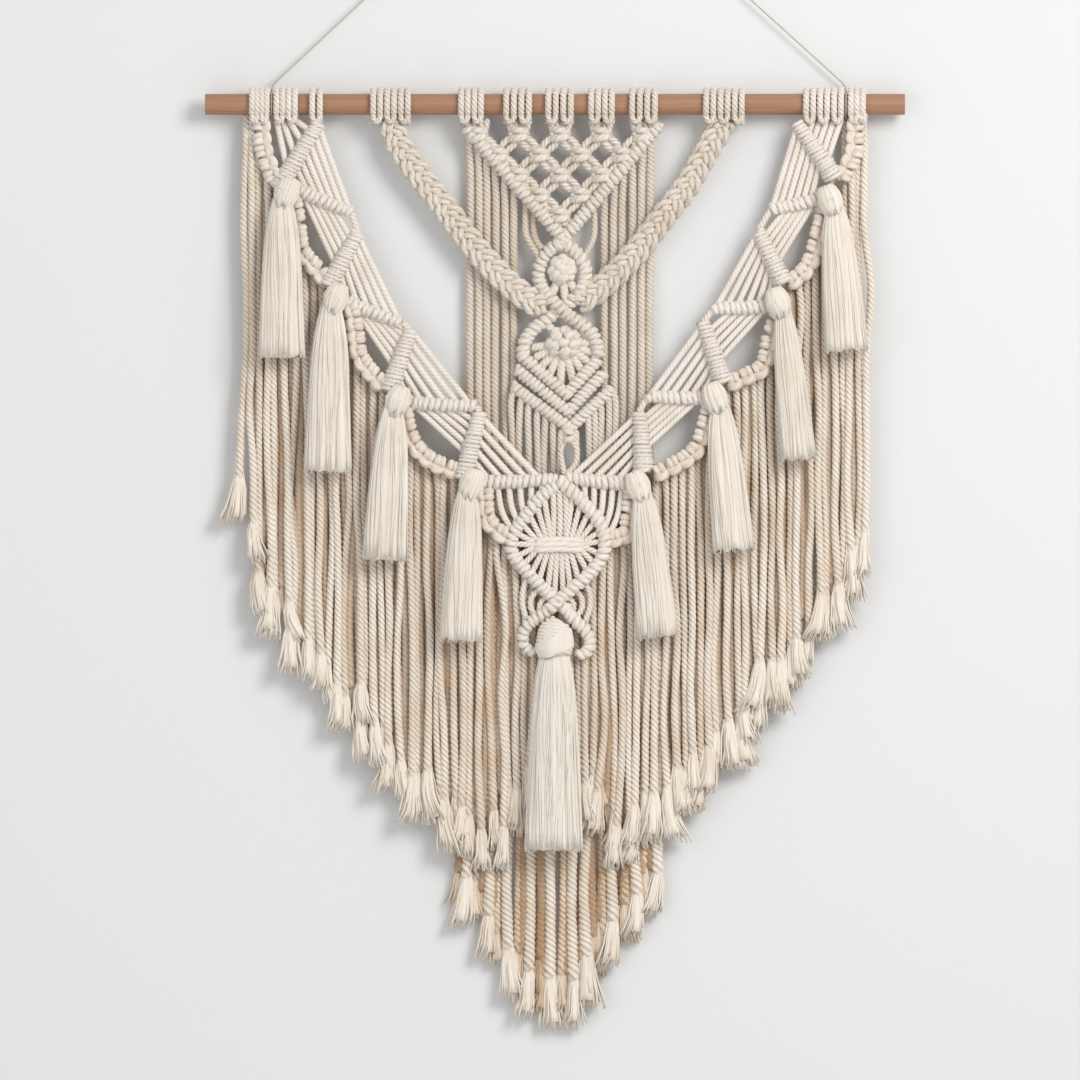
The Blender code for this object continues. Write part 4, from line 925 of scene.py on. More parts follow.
# %% Column in the middle
COLUMN_OUT = 17.0
ARMS = (
    ((5.6, 108.9), (-6.4, 118.9), (-12.6, 130.9), (-11.8, 143.7), (-4.0, 154.9), (5.0, 164.0), (18.0, 174.0),
     (29.5, 182.8), (34.2, 194.2), (34.4, 203.0)),
    ((5.6, 108.9), (18.2, 119.9), (24.4, 132.3), (22.8, 144.5), (15.2, 154.9), (7.0, 162.5), (-11.4, 175.0),
     (-20.3, 183.6), (-25.2, 192.6), (-25.4, 202.0)),
)
ARM_OUTS = (
    (18.5, 17.5, 16.8, 16.8, 18.0, 19.8, 18.8, 17.6, 17.4, 17.4),
    (17.0, 17.2, 16.8, 16.8, 16.6, 15.2, 16.8, 17.4, 17.4, 17.4),
)
Berry = namedtuple("Berry", "x down half_width half_height ray_turns")
BERRIES = (
    Berry(5.7, 132.0, 12.4, 13.2, (58, 84, 112)),
    Berry(7.0, 190.6, 15.6, 14.2, (-132, -48, 0, 19, 38, 57, 76, 95, 114, 133, 152, 171)),
)
BERRY_RISE = 10.0
RAY_CORD = 3.4
RAY_FROM = 5.0
RAY_REACH = 26.0
RAY_EXTRA = 9.0  # how much further the ray goes that runs straight down
RAY_OUTS = (COLUMN_OUT - 1.6, COLUMN_OUT - 1.6, COLUMN_OUT - 3.2)
BUMP_RADIUS = 4.3
BUMP_REACH = 2.5
BUMP_SAG = 2.2
BUMP_ROUNDS = ((1, 0.0), (5, 0.84), (8, 1.40))  # how many bumps, and how far round from the front
Chevron = namedtuple("Chevron", "left tip right")
CHEVRONS = (
    Chevron((-26.4, 201.3), (9.0, 232.0), (34.6, 203.9)),
    Chevron((-31.0, 211.6), (10.2, 245.6), (39.3, 214.6)),
    Chevron((-34.0, 225.4), (11.8, 258.9), (44.8, 227.8)),
)
COLUMN_LEFT = (-35.2, -28.0, -21.6, -14.4, -8.0, -1.6)
COLUMN_MIDDLE = (4.6, 17.0)
COLUMN_RIGHT = (27.0, 32.0, 37.2, 43.4, 48.8)
COLUMN_CORD = 2.7
CHEVRON_ARMS = (  # how far towards the tip and past it, and how far out at start, middle and end
    (1.06, (17.4, 19.0, 18.6)),
    (0.96, (17.4, 18.6, 17.4)),
)


def ball(centre, sizes, tone):
    """A round core with half sizes across, out and down: its radius is a sine of the way down."""
    share = np.linspace(0.03, 0.97, 12)
    path = centre + DOWN * sizes[2] * (2 * share[:, None] - 1)
    radius = sizes[0] * np.sin(math.pi * share)**0.6
    return sweep(path, round_section(20), radius, flat=sizes[1] / sizes[0], tone=tone)


def berry(spot):
    """A rolled-up row of knots: short arcs of cord that stand out all over a flattened ball."""
    centre = world([spot.x, spot.down, COLUMN_OUT + 1])
    sizes = np.array([spot.half_width, BERRY_RISE, spot.half_height]) - BUMP_RADIUS
    # The ball under the bumps is deeper in tone: painted shade between the loops.
    made = [ball(centre, sizes - 0.4, 0.6)]
    reach = np.linspace(-1, 1, 5)[:, None]
    for count, polar in BUMP_ROUNDS:
        for turn in np.arange(count) * 2 * math.pi / count + 1.7 * polar:
            turn += rng.uniform(-0.15, 0.15)
            aside = math.cos(turn) * ACROSS + math.sin(turn) * DOWN
            normal = math.sin(polar) * aside + math.cos(polar) * OUT
            along = np.cross(normal, DOWN + ACROSS * rng.uniform(-0.9, 0.9) + OUT * 0.2)
            along /= np.linalg.norm(along)
            arc = centre + sizes * normal + BUMP_REACH * reach * along - BUMP_SAG * reach**2 * normal
            made.append(cord(arc, BUMP_RADIUS, -0.05, normal, lay=16.0, step=0.9, section=SOFT_PLY))
    return made


def rays(spot):
    """Short cords that run outwards from under a berry, and furthest straight down."""
    made = []
    for turn in np.radians(spot.ray_turns):
        outer = RAY_REACH + RAY_EXTRA * max(0.0, math.sin(turn))**4
        line = [(spot.x + far * math.cos(turn), spot.down + far * math.sin(turn))
                for far in (RAY_FROM, (RAY_FROM + outer) / 2, outer)]
        made.append(cord(at(line, RAY_OUTS), RAY_CORD, tone=0.08, section=SOFT_PLY))
    return made


def chevron_tubes(chevron):
    """The left arm runs on past the tip, and the right arm ends behind it."""
    made = []
    for start, (reach, outs), hand in zip((chevron.left, chevron.right), CHEVRON_ARMS, (1.0, -1.0)):
        line = [start, between(start, chevron.tip, 0.5), between(start, chevron.tip, reach)]
        made += wrapped(at(line, outs), CHEVRON_WRAP, hand=hand)
    return made


def column_cord(x, end):
    """A cord that leaves the lowest chevron and falls back to the panel behind the swag."""
    sway = rng.uniform(-1.0, 1.0)
    inwards = 0.12 * (CHEVRONS[-1].tip[0] - x)
    points = [(x + inwards, end - 1, COLUMN_OUT), (x + 0.3 * inwards, end + 3, COLUMN_OUT + 0.5),
              (x, end + 12, COLUMN_OUT - 1), (x + sway, end + 36, 10.5),
              (x + sway, HEM_DOWN - 30, PANEL_OUT + 1), (x, HEM_DOWN, PANEL_OUT)]
    return cord(world(points), COLUMN_CORD, tone=0.12)


def column_tubes():
    """Arms, berries and chevrons from the top down, and the cords that fall from the lowest chevron."""
    made = []
    for line, outs, hand in zip(ARMS, ARM_OUTS, (1.0, -1.0)):
        made += wrapped(at(line, outs), FAT_WRAP, hand=hand)
    for spot in BERRIES:
        made += berry(spot)
        made += rays(spot)
    for chevron in CHEVRONS:
        made += chevron_tubes(chevron)
    left, tip, right = CHEVRONS[-1]
    for x in COLUMN_LEFT:
        made.append(column_cord(x, np.interp(x, [left[0], tip[0]], [left[1], tip[1]]) + 2))
    for x in COLUMN_RIGHT:
        made.append(column_cord(x, np.interp(x, [tip[0], right[0]], [tip[1], right[1]]) + 2))
    for x in COLUMN_MIDDLE:
        made.append(column_cord(x, tip[1] + 3.1))
    return made


# %% Pendant under the lowest chevron
PENDANT_KNOT = Knot(3.4, 6.0, 2.4)
PENDANT_LINE = ((10.9, 259.0, 18.0), (10.9, 271.0, 18.0))
PENDANT_X = 11.0
PENDANT_LOOP = ((2.0, 268.0, 17.0), (6.4, 276.0, 18.0), (5.0, 288.0, 18.0))  # aside of it, down and out
PENDANT_FOOT = (8.0, 297.0, 19.0)
PENDANT_CORD = 2.4


def pendant_tubes():
    """A small knot under the lowest tip, and the two cords that loop down from it."""
    made = square_knots(world(PENDANT_LINE), PENDANT_KNOT)
    for side in (-1.0, 1.0):
        loop = [(PENDANT_X + side * aside, down, out) for aside, down, out in PENDANT_LOOP]
        made.append(cord(world(loop + [PENDANT_FOOT]), PENDANT_CORD))
    return made


# %% Plaits either side
PLAIT_OUT = 18.0
LEFT_PLAIT = (
    (-131.2, 12.5), (-126.4, 28.5), (-114.4, 48.5), (-92.0, 77.3), (-71.2, 105.3), (-48.8, 131.7),
    (-28.0, 150.9), (-8.0, 163.5),
)
RIGHT_PLAIT = (
    (135.2, 12.5), (130.4, 22.1), (121.6, 36.5), (106.4, 63.7), (88.8, 86.9), (71.2, 110.1), (52.0, 131.7),
    (32.0, 150.0), (18.6, 158.1),
)


def plait_tubes():
    """Both plaits, from their loops on the dowel down to the column."""
    made = []
    for line in (LEFT_PLAIT, RIGHT_PLAIT):
        made += plaited(at(line, PLAIT_OUT))
    return made


panel_loops = [tube for group in LOOP_GROUPS if group.node == "centre_panel" for tube in mounted(group)]
PANEL_LOOK = (COTTON_PANEL, "cotton_panel", "centre_panel")
make_piece("panel_net", panel_loops + net_tubes(), *PANEL_LOOK)
make_piece("panel_cords", panel_cord_tubes(), *PANEL_LOOK)
make_piece("panel_column", column_tubes() + pendant_tubes(), *PANEL_LOOK)
make_piece("panel_plaits", plait_tubes(), *PANEL_LOOK)

# %% [markdown]
# The swag is one motif, four times on each side. A slanting wrapped bar ends in the head of a tassel.
# From the bar a fan of cords is drawn over to a level rail, and from the rail a second, smaller fan
# reaches the next bar. A chain of square knots bows round below and leaves a lens open to the wall. So a
# motif is a row of places, and one function makes all eight. The shares say how much of bar and rail each
# fan takes up.

# %% Motifs of the swag
SWAG_OUT = 21.4
Motif = namedtuple("Motif", "top foot rail_in rail_out fan_from fan_to chain")
LEFT_MOTIFS = (
    Motif((-188.8, 14.9), (-222.4, 68.5), (-212.0, 64.5), (-163.2, 86.1), (0.02, 0.60), (0.02, 0.70),
          ((-209.6, 74.0), (-206.4, 94.9), (-204.0, 113.3), (-199.2, 122.1), (-188.8, 133.3),
           (-182.4, 141.5))),
    Motif((-157.6, 102.9), (-182.4, 146.1), (-173.6, 154.1), (-122.4, 174.9), (0.02, 0.62), (0.04, 0.86),
          ((-162.4, 160.5), (-158.4, 190.1), (-156.8, 200.5), (-148.0, 213.3), (-136.0, 226.0))),
    Motif((-115.2, 179.7), (-132.8, 229.3), (-126.4, 237.3), (-64.0, 241.3), (0.02, 0.70), (0.05, 0.84),
          ((-121.6, 242.0), (-115.2, 267.7), (-100.0, 284.5), (-78.0, 293.5))),
    Motif((-60.0, 246.1), (-73.6, 299.7), (-66.4, 302.1), (0.8, 299.7), (0.04, 0.80), (0.19, 0.93),
          ((-56.0, 306.0), (-55.2, 328.5), (-48.8, 338.9), (-38.0, 346.5))),
)
RIGHT_MOTIFS = (
    Motif((193.6, 14.9), (224.8, 60.1), (216.8, 73.7), (172.8, 83.7), (0.02, 0.62), (0.02, 0.72),
          ((218.4, 78.0), (211.2, 102.9), (207.2, 118.1), (200.8, 131.7), (187.0, 143.7))),
    Motif((162.4, 101.3), (183.2, 143.7), (180.0, 160.1), (127.2, 162.9), (0.02, 0.66), (0.03, 0.82),
          ((180.0, 163.0), (172.8, 185.3), (170.4, 198.1), (165.6, 210.9), (152.8, 217.3), (138.0, 223.7))),
    Motif((118.4, 174.9), (135.2, 223.7), (124.8, 234.5), (74.4, 233.3), (0.02, 0.72), (0.03, 0.84),
          ((125.0, 239.0), (119.2, 261.3), (114.4, 274.1), (102.4, 284.5), (79.0, 296.5))),
    Motif((67.2, 246.1), (71.2, 293.3), (63.2, 303.3), (7.2, 298.1), (0.03, 0.82), (0.10, 0.90),
          ((62.0, 306.5), (59.2, 332.5), (56.8, 344.0), (42.0, 348.0))),
)
Fan = namedtuple("Fan", "cords radius tone outs")
UPPER_FAN = Fan(6, 2.5, 0.02, (SWAG_OUT - 1, SWAG_OUT - 1.6, SWAG_OUT - 1))
LOWER_FAN = Fan(5, 2.3, 0.08, (SWAG_OUT - 1.2, SWAG_OUT - 2, SWAG_OUT - 1.2))
LOWER_FROM = (0.17, 0.66)
LOWER_TO = (0.34, 0.84)
BAR_SWELL = (0.85, 1.0, 1.08, 1.3)
RAIL_SWELL = (1.1, 1.0, 0.9)
RAIL_SAG = 1.0


def fan_tubes(fan, first, first_shares, second, second_shares):
    """Cords drawn over from one bar to another, each a share further along both."""
    made = []
    for start, end in zip(np.linspace(*first_shares, fan.cords), np.linspace(*second_shares, fan.cords)):
        a, b = between(*first, start), between(*second, end)
        points = at([a, between(a, b, 0.5), b], fan.outs)
        made.append(cord(points, fan.radius, tone=fan.tone, section=SOFT_PLY))
    return made


def motif_tubes(above, motif):
    """Fan, bar, rail and chain of one motif, and the lower fan that comes from the rail above it."""
    hand = 1.0 if motif.rail_out[0] > motif.rail_in[0] else -1.0
    sag = between(motif.rail_in, motif.rail_out, 0.5)
    rail = [motif.rail_in, (sag[0], sag[1] + RAIL_SAG), motif.rail_out]
    bar = [motif.top, between(motif.top, motif.foot, 0.5), motif.foot]
    made = fan_tubes(UPPER_FAN, (motif.top, motif.foot), motif.fan_from,
                     (motif.rail_out, motif.rail_in), motif.fan_to)
    bar_outs = (SWAG_OUT, SWAG_OUT + 1.5, SWAG_OUT + 2.5)
    made += wrapped(at(bar, bar_outs), BAR_WRAP, hand=-hand, swell=BAR_SWELL)
    made += wrapped(at(rail, (SWAG_OUT, SWAG_OUT + 0.6, SWAG_OUT)), RAIL_WRAP, hand=hand, swell=RAIL_SWELL)
    made += bead_chain(at(motif.chain, SWAG_OUT), SWAG_CHAIN, hand, tone=0.35)
    if above:
        rail, chain = (above.rail_in, above.rail_out), (motif.foot, motif.top)
        made += fan_tubes(LOWER_FAN, rail, LOWER_FROM, chain, LOWER_TO)
        made.append(cord(at([above.rail_out, motif.top], SWAG_OUT - 0.4)))
    return made


# %% [markdown]
# Outside the first motif the outermost cords of the dowel are tied into a thick sennit that joins the
# head of the tassel, and the inner ones are drawn over to the first bar.

# %% Outer corners of the swag
Corner = namedtuple("Corner", "motif group sennit")
CORNERS = (
    Corner(LEFT_MOTIFS[0], LOOP_GROUPS[1],
           ((-235.0, 12.0), (-234.6, 24.0), (-233.4, 36.0), (-230.0, 46.0), (-224.0, 62.0))),
    Corner(RIGHT_MOTIFS[0], LOOP_GROUPS[10],
           ((240.6, 12.0), (240.4, 24.0), (239.4, 38.0), (234.0, 50.0), (228.0, 60.0))),
)
DRAWN_DOWN = 12.5  # where the drawn cords leave the dowel's loops
DRAWN_OUT = 17.5
DRAWN_SHARES = (0.14, 0.74)  # how much of the bar they take up


def corner_tubes(corner):
    """The sennit, and the cords of the inner group that are drawn over to the bar."""
    outs = np.linspace(DRAWN_OUT, SWAG_OUT, len(corner.sennit))
    made = bead_chain(at(corner.sennit, outs), SWAG_CHAIN, math.copysign(1.0, corner.sennit[0][0]), tone=0.3)
    bar = (corner.motif.top, corner.motif.foot)
    places = cord_places(corner.group)
    outwards = np.sign(corner.motif.foot[0] - corner.motif.top[0])
    reach = (places - bar[0][0]) * outwards
    for x, share in zip(places, np.interp(reach, [reach.min(), reach.max()], DRAWN_SHARES)):
        end = between(*bar, share)
        points = [(x, DRAWN_DOWN, DRAWN_OUT), between((x, DRAWN_DOWN, 19.0), (*end, 20.5), 0.45),
                  (*end, SWAG_OUT - 1)]
        made.append(cord(world(points), UPPER_FAN.radius, tone=0.04, section=SOFT_PLY))
    return made


# %% [markdown]
# In the middle a ring hangs under the two last rails: two wrapped arms that cross at the top and bottom.
# Cords fan inwards from the arms, are gathered by a flat tie of three turns, and spread out again. Two
# wrapped hooks below it hold the large tassel between them.

# %% Ring, tie and hooks
RING_OUT = 24.5
RING_LEFT = (
    (3.2, 303.7), (-9.6, 312.5), (-22.4, 327.7), (-33.6, 344.5), (-34.0, 359.7), (-20.8, 375.7),
    (-4.8, 391.7), (11.0, 405.5),
)
RING_RIGHT = (
    (3.2, 300.7), (11.0, 308.0), (23.2, 318.9), (38.0, 338.9), (39.2, 358.1), (29.6, 373.3), (11.2, 389.3),
    (-4.6, 403.5),
)
TIE = ((-14.4, 352.5), (20.8, 352.5))
TIE_WRAPS = ((-3.9, 2.4), (0.0, 2.7), (3.9, 2.4))  # down from its middle, and radius
TIE_TURN = ((1.5, 0.8, -2.0), (-0.5, 0.9, 1.6), (5.0, 1.0, 3.6))  # inwards, share of the down, and out
HOOKS = (
    ((0.0, 400.5), (-9.0, 407.5), (-20.0, 415.0), (-25.6, 424.5), (-24.0, 434.0), (-16.5, 438.5)),
    ((7.0, 402.5), (16.0, 413.0), (24.5, 421.5), (28.0, 430.0), (25.0, 438.0), (17.5, 441.0)),
)
SIDE_LOOPS = (  # small cords between the ring's foot and the hooks
    ((-22.0, 378.0), (-25.5, 388.0), (-26.0, 400.0), (-23.0, 412.0)),
    ((-13.0, 388.0), (-18.5, 394.0), (-19.5, 402.0), (-15.0, 410.0)),
    ((-6.0, 394.0), (-11.0, 398.0), (-12.5, 405.0), (-8.0, 410.0)),
    ((22.0, 380.0), (27.5, 390.0), (28.0, 402.0), (24.0, 414.0)),
    ((14.0, 388.0), (20.5, 393.0), (21.5, 403.0), (17.0, 410.0)),
    ((9.0, 394.0), (13.5, 397.0), (15.0, 403.0), (12.0, 408.0)),
)
RING_SHARES = (0.11, 0.18, 0.25, 0.32, 0.39, 0.46, 0.55, 0.62, 0.69, 0.76, 0.83, 0.89)
RING_CORD = 2.4
GATHER = 0.46  # how wide the cords are at the tie, as a share of where they start
STRAIGHT_XS = (-1.5, 3.5, 8.5)
SUPPORT_FROM = (0.16, 0.84)
SUPPORT_TO = (0.46, 0.40, 0.34, 0.28, 0.21, 0.14)


def place_at(path, share):
    """The point that lies a share of the way along evenly spaced ones."""
    return path[round(share * (len(path) - 1))]


def ring_tubes():
    """Both arms, the cords that run in from them to the tie, and three straight ones from the top."""
    made = []
    middle = (TIE[0][0] + TIE[1][0]) / 2
    for line, out, hand in ((RING_LEFT, RING_OUT - 0.6, 1.0), (RING_RIGHT, RING_OUT + 1.2, -1.0)):
        outs = np.interp(np.linspace(0, 1, len(line)), [0, 0.2, 1], [out - 1.5, out, out])
        made += wrapped(at(line, outs), FAT_WRAP, hand=hand)
        path = rounded(at(line, RING_OUT - 1.6), 1.0)
        for share in RING_SHARES:
            start = place_at(path, share)
            tied = world([middle + GATHER * (start[0] - middle), TIE[0][1], RING_OUT + 0.4])
            made.append(cord([start, (start + tied) / 2 + OUT * 0.6, tied], RING_CORD))
    for x in STRAIGHT_XS:
        made.append(cord(at([(x, 308.0), (x + 0.6, 330.0), (x, 352.0)], RING_OUT - 1), 2.5))
    return made + tie_tubes()


def tie_tubes():
    """Three flat turns over the gathered cords, bent round at both ends."""
    (left, down), (right, _) = TIE
    middle = (left + right) / 2
    made = []
    for lower, radius in TIE_WRAPS:
        end = [(inwards, down + lower * share, RING_OUT + out) for inwards, share, out in TIE_TURN]
        points = [(left + inwards, *place) for inwards, *place in end]
        points.append((middle, down + lower - 0.6, RING_OUT + 4.2))
        points += [(right - inwards, *place) for inwards, *place in reversed(end)]
        made.append(cord(world(points), radius, tone=-0.1, lay=30.0, section=SOFT_PLY))
    return made


def hook_tubes():
    """The two wrapped hooks, and the small cords that show between the ring's foot and them."""
    made = []
    for line, hand in zip(HOOKS, (1.0, -1.0)):
        made += wrapped(at(line, RING_OUT), FAT_WRAP, hand=hand, swell=(0.95, 1.0, 0.95, 0.85))
    for points in SIDE_LOOPS:
        made.append(cord(at(points, RING_OUT - 2.5), RING_CORD, tone=0.2))
    return made


def ring_support_tubes():
    """Short cords from the last two rails down to the shoulders of the ring."""
    made = []
    for motif, line in ((LEFT_MOTIFS[-1], RING_LEFT), (RIGHT_MOTIFS[-1], RING_RIGHT)):
        path = rounded(at(line, SWAG_OUT + 1), 1.0)
        for start, share in zip(np.linspace(*SUPPORT_FROM, len(SUPPORT_TO)), SUPPORT_TO):
            a = world([*between(motif.rail_in, motif.rail_out, start), SWAG_OUT - 1.4])
            b = place_at(path, share)
            bow = np.array([0.7 * a[0] + 0.3 * b[0], (a[1] + b[1]) / 2, 0.42 * a[2] + 0.58 * b[2]])
            made.append(cord([a, bow, b], UPPER_FAN.radius, tone=0.06, section=SOFT_PLY))
    return made


def swag_side(motifs, corner, groups):
    """One side of the swag: its loops over the dowel, its outer corner and its four motifs."""
    made = [tube for group in groups for tube in mounted(group)]
    made += corner_tubes(corner)
    for above, motif in zip((None,) + motifs, motifs):
        made += motif_tubes(above, motif)
    return made


SWAG_LOOK = (COTTON_SWAG, "cotton_swag", "swag")
make_piece("swag_left", swag_side(LEFT_MOTIFS, CORNERS[0], LOOP_GROUPS[:3]), *SWAG_LOOK)
make_piece("swag_right", swag_side(RIGHT_MOTIFS, CORNERS[1], LOOP_GROUPS[10:]), *SWAG_LOOK)
make_piece("swag_ring", ring_tubes() + hook_tubes() + ring_support_tubes(), *SWAG_LOOK)

# %% [markdown]
# The fringe hangs from behind the swag: two staggered layers in front, and a row behind them in their
# gaps. A cord that hangs free is never quite straight: it has a slow wave and may lean over its
# neighbour. The row behind is given a deeper tone as painted shade, because it lies in the shade and
# takes up the colour of the cotton round it. Each cord ends in a tuft, where its plies are combed out
# into loose threads.

# %% Tips that are combed out
TUFT_SIDES = 10
TUFT_GROOVE = 0.4
TUFT_LEAN = 7.0
TUFT_INWARDS = 0.012  # lean back to the middle of the hanging, for each millimetre away from it
TUFT_CURL = 2.0
LONGEST_THREAD = 1.06
Tuft = namedtuple("Tuft", "length width strands")
TUFT_PROFILE = ((-0.2, 0.42), (0.0, 0.52), (0.25, 0.64), (0.6, 0.90), (0.8, 1.0), (1.1, 1.10))
CORE_PROFILE = ((-0.2, 0.36), (-0.05, 0.50), (0.25, 0.56), (0.6, 0.66), (0.86, 0.70))
TUFT_THREAD = (0.5, 0.9, 1.0, 1.0, 0.95, 0.75)
FRONT_TUFT = Tuft(33.0, 14.5, 44)
REAR_TUFT = Tuft(26.0, 12.5, 18)


def tuft_tubes(top, heading, tuft, tone):
    """A cord's end combed out: a soft core that swallows the cord, and strands that spread round it. A
    strand's place is top + heading * length * down + lean * down**2 + its own place aside and its curl."""
    length, width = tuft.length * rng.uniform(0.8, 1.15), tuft.width * rng.uniform(0.8, 1.4)
    aslant = rng.uniform(-TUFT_LEAN, TUFT_LEAN) - TUFT_INWARDS * top[0]
    lean = ACROSS * aslant + OUT * rng.uniform(-1.0, 1.5)
    share = np.linspace(-0.2, 0.86, 7)[:, None]
    path = top + heading * length * share + lean * share**2
    radius = np.interp(share[:, 0], *zip(*CORE_PROFILE)) * width / 2
    # The core's creases carry painted shade, and the core is a little deeper in tone, as painted shade under
    # the strands.
    groove = (np.arange(TUFT_SIDES) % 2) * TUFT_GROOVE
    section = Section(round_section(TUFT_SIDES).angle, 1 - 0.2 * groove, groove)
    made = [sweep(path, section, radius, turn=0.9 * share[:, 0], flat=0.75, tone=tone + 0.1)]
    for _ in range(tuft.strands):
        turn, spread = rng.uniform(0, 2 * math.pi), rng.uniform(0.3, 1.05)
        aside = (ACROSS * math.cos(turn) + OUT * 0.6 * math.sin(turn)) * width / 2 * spread
        cut = min(rng.normal(0.94, 0.08), LONGEST_THREAD)
        down = np.linspace(rng.uniform(-0.3, 0.0), cut, len(TUFT_THREAD))[:, None]
        wide = np.interp(down, *zip(*TUFT_PROFILE))
        curl = ACROSS * (rng.normal(0, TUFT_CURL) * np.clip(down, 0, 2)**3 + 0.5 * np.sin(9 * down + turn))
        way = top + heading * length * down + lean * down**2 + aside * wide + curl
        made.append(sweep(way, THREAD, np.array(TUFT_THREAD), tone=tone + rng.uniform(-0.1, 0.3)))
    return made


# %% Front fringe
FRINGE_FIRST = -250.6
FRINGE_PITCH = 7.05
FRINGE_COUNT = 72
FRINGE_MIDDLE = 1.2
FRINGE_LAY = 13.0
WAVE = 1.3  # usual sway aside, once in every WAVE_LENGTH of a cord
WAVE_LENGTH = 50
WAVE_OUT = 0.8
HANGS_FROM = 0.12  # share of its length below which a cord hangs over its own place
TUFT_LIGHTER = 0.18
END_SWELL = ((0.0, 0.7), (3.0, 1.18), (60.0, 1.0))  # distance from the end, and thickness there
OPENING = 14.0  # length at the end over which the twist opens
SIDE_CORDS = 4  # at each edge these come straight from the dowel, side by side
SIDE_FIRST = 246.5
SIDE_PITCH = 4.8
SIDE_ROOT = (8.0, 11.0)  # down and out
ROOT_UP = 3.0  # how far a cord starts above the swag's lower edge, hidden behind it
ROOT_OUT = 14.0
FRONT_LEAN = 2.2
REAR_LEAN = 1.5
TUFT_SIDEWAYS = 5.0
FRINGE_STEP = 2.3
REAR_STEP = 2.6
RAGGED = (-2.0, 8.0, -22.0, 5.0)  # how far an end is from the line of ends: usual, spread, least and most
REAR_SHORTER = (4, 22)
Layer = namedtuple("Layer", "out radius tone section")
# These tones are painted shade: the layer further back is a little deeper, and the row behind much deeper
# and browner.
LAYERS = (Layer(14.0, 3.0, 0.16, THREE_PLY), Layer(16.2, 3.0, 0.06, THREE_PLY))
REAR_LAYER = Layer(9.4, 4.3, 0.5, SHADED_PLY)
LEFT_STRIP = (
    (-249.6, 54.1), (-226.4, 68.5), (-209.6, 88.5), (-201.6, 116.5), (-183.2, 146.1), (-162.4, 170.9),
    (-154.4, 202.9), (-133.6, 230.1), (-120.8, 256.5), (-100.0, 284.5), (-74.4, 300.5), (-55.2, 318.1),
    (-40.0, 348.5), (-20.0, 378.9), (-2.4, 398.1),
)
RIGHT_STRIP = (
    (5.6, 398.1), (26.4, 378.1), (40.8, 352.5), (61.6, 332.5), (76.0, 300.5), (108.0, 280.5),
    (120.8, 260.5), (136.8, 226.9), (164.0, 210.9), (174.4, 180.5), (184.0, 146.9), (204.0, 126.1),
    (213.6, 96.5), (232.0, 68.5), (252.0, 54.1),
)
FRINGE_ENDS = (
    (-252.0, 345.0), (-244.0, 404.0), (-222.0, 434.0), (-204.0, 460.0), (-164.0, 518.0), (-126.0, 567.0),
    (-92.0, 592.0), (-76.0, 602.0), (-56.0, 617.0), (-46.0, 619.0), (-38.0, 600.0), (-26.0, 580.0),
    (26.0, 580.0), (36.0, 598.0), (46.0, 617.0), (60.0, 612.0), (77.6, 597.0), (105.0, 574.0),
    (143.0, 536.0), (172.0, 495.0), (201.0, 456.0), (220.0, 429.0), (239.0, 396.0), (256.0, 371.0),
)


def height_at(line, x):
    """How far down a line of (x, down) points lies at x."""
    return float(np.interp(x, [p[0] for p in line], [p[1] for p in line]))


def end_at(line, x):
    """How far down a tuft may reach whose sides stay within the line of ends."""
    return min(height_at(line, x - TUFT_SIDEWAYS), height_at(line, x + TUFT_SIDEWAYS))


def rounded_share(path, step):
    """How far along, as a share, each point lies that a cord on this path is given."""
    return np.linspace(0, 1, len(rounded(path, step)))


def hanging_cord(root, x, end, layer, lean, tuft):
    """From its root over to x, then down with a slow wave to the tuft."""
    length = end - root[1]
    share = np.linspace(HANGS_FROM, 1.0, max(3, round(length / WAVE_LENGTH)))
    wave = rng.normal(0.0, WAVE, len(share))
    depth = rng.uniform(-WAVE_OUT, WAVE_OUT, len(share))
    middle = np.stack([x + wave + lean * share, root[1] + length * share, layer.out + depth], axis=1)
    path = world(np.vstack([[root], middle]))
    tone = layer.tone + rng.uniform(-0.1, 0.16)
    heading = (path[-1] - path[-2]) / np.linalg.norm(path[-1] - path[-2])
    step = FRINGE_STEP if layer.section is THREE_PLY else REAR_STEP
    left = (1 - rounded_share(path, step)) * length
    swell = np.interp(left, *zip(*END_SWELL))
    lay = np.interp(left, [0.0, OPENING], [2 * FRINGE_LAY, FRINGE_LAY])
    hung = cord(path, layer.radius * swell, tone=tone, lay=lay, step=step, section=layer.section)
    return [hung] + tuft_tubes(path[-1] - heading, heading, tuft, tone - TUFT_LIGHTER)


def front_fringe(strip, columns):
    """Two layers of cords by turns, from the swag's lower edge to the line of ends, more or less."""
    usual, spread, least, most = RAGGED
    made = []
    for k in columns:
        x = FRINGE_FIRST + FRINGE_PITCH * k
        layer = LAYERS[k % 2]
        end = end_at(FRINGE_ENDS, x) + np.clip(rng.normal(usual, spread), least, most) - FRONT_TUFT.length
        edge = min(k, FRINGE_COUNT - 1 - k)
        lean = rng.normal(0.0, FRONT_LEAN) * min(1.0, edge / SIDE_CORDS)
        if edge < SIDE_CORDS:
            root = (math.copysign(SIDE_FIRST - SIDE_PITCH * edge, x), *SIDE_ROOT)
            made += hanging_cord(root, root[0], end, layer, x - root[0] + lean, FRONT_TUFT)
        else:
            root = (np.clip(x, strip[0][0], strip[-1][0]), height_at(strip, x) - ROOT_UP, ROOT_OUT)
            made += hanging_cord(root, x, end, layer, lean, FRONT_TUFT)
    return made


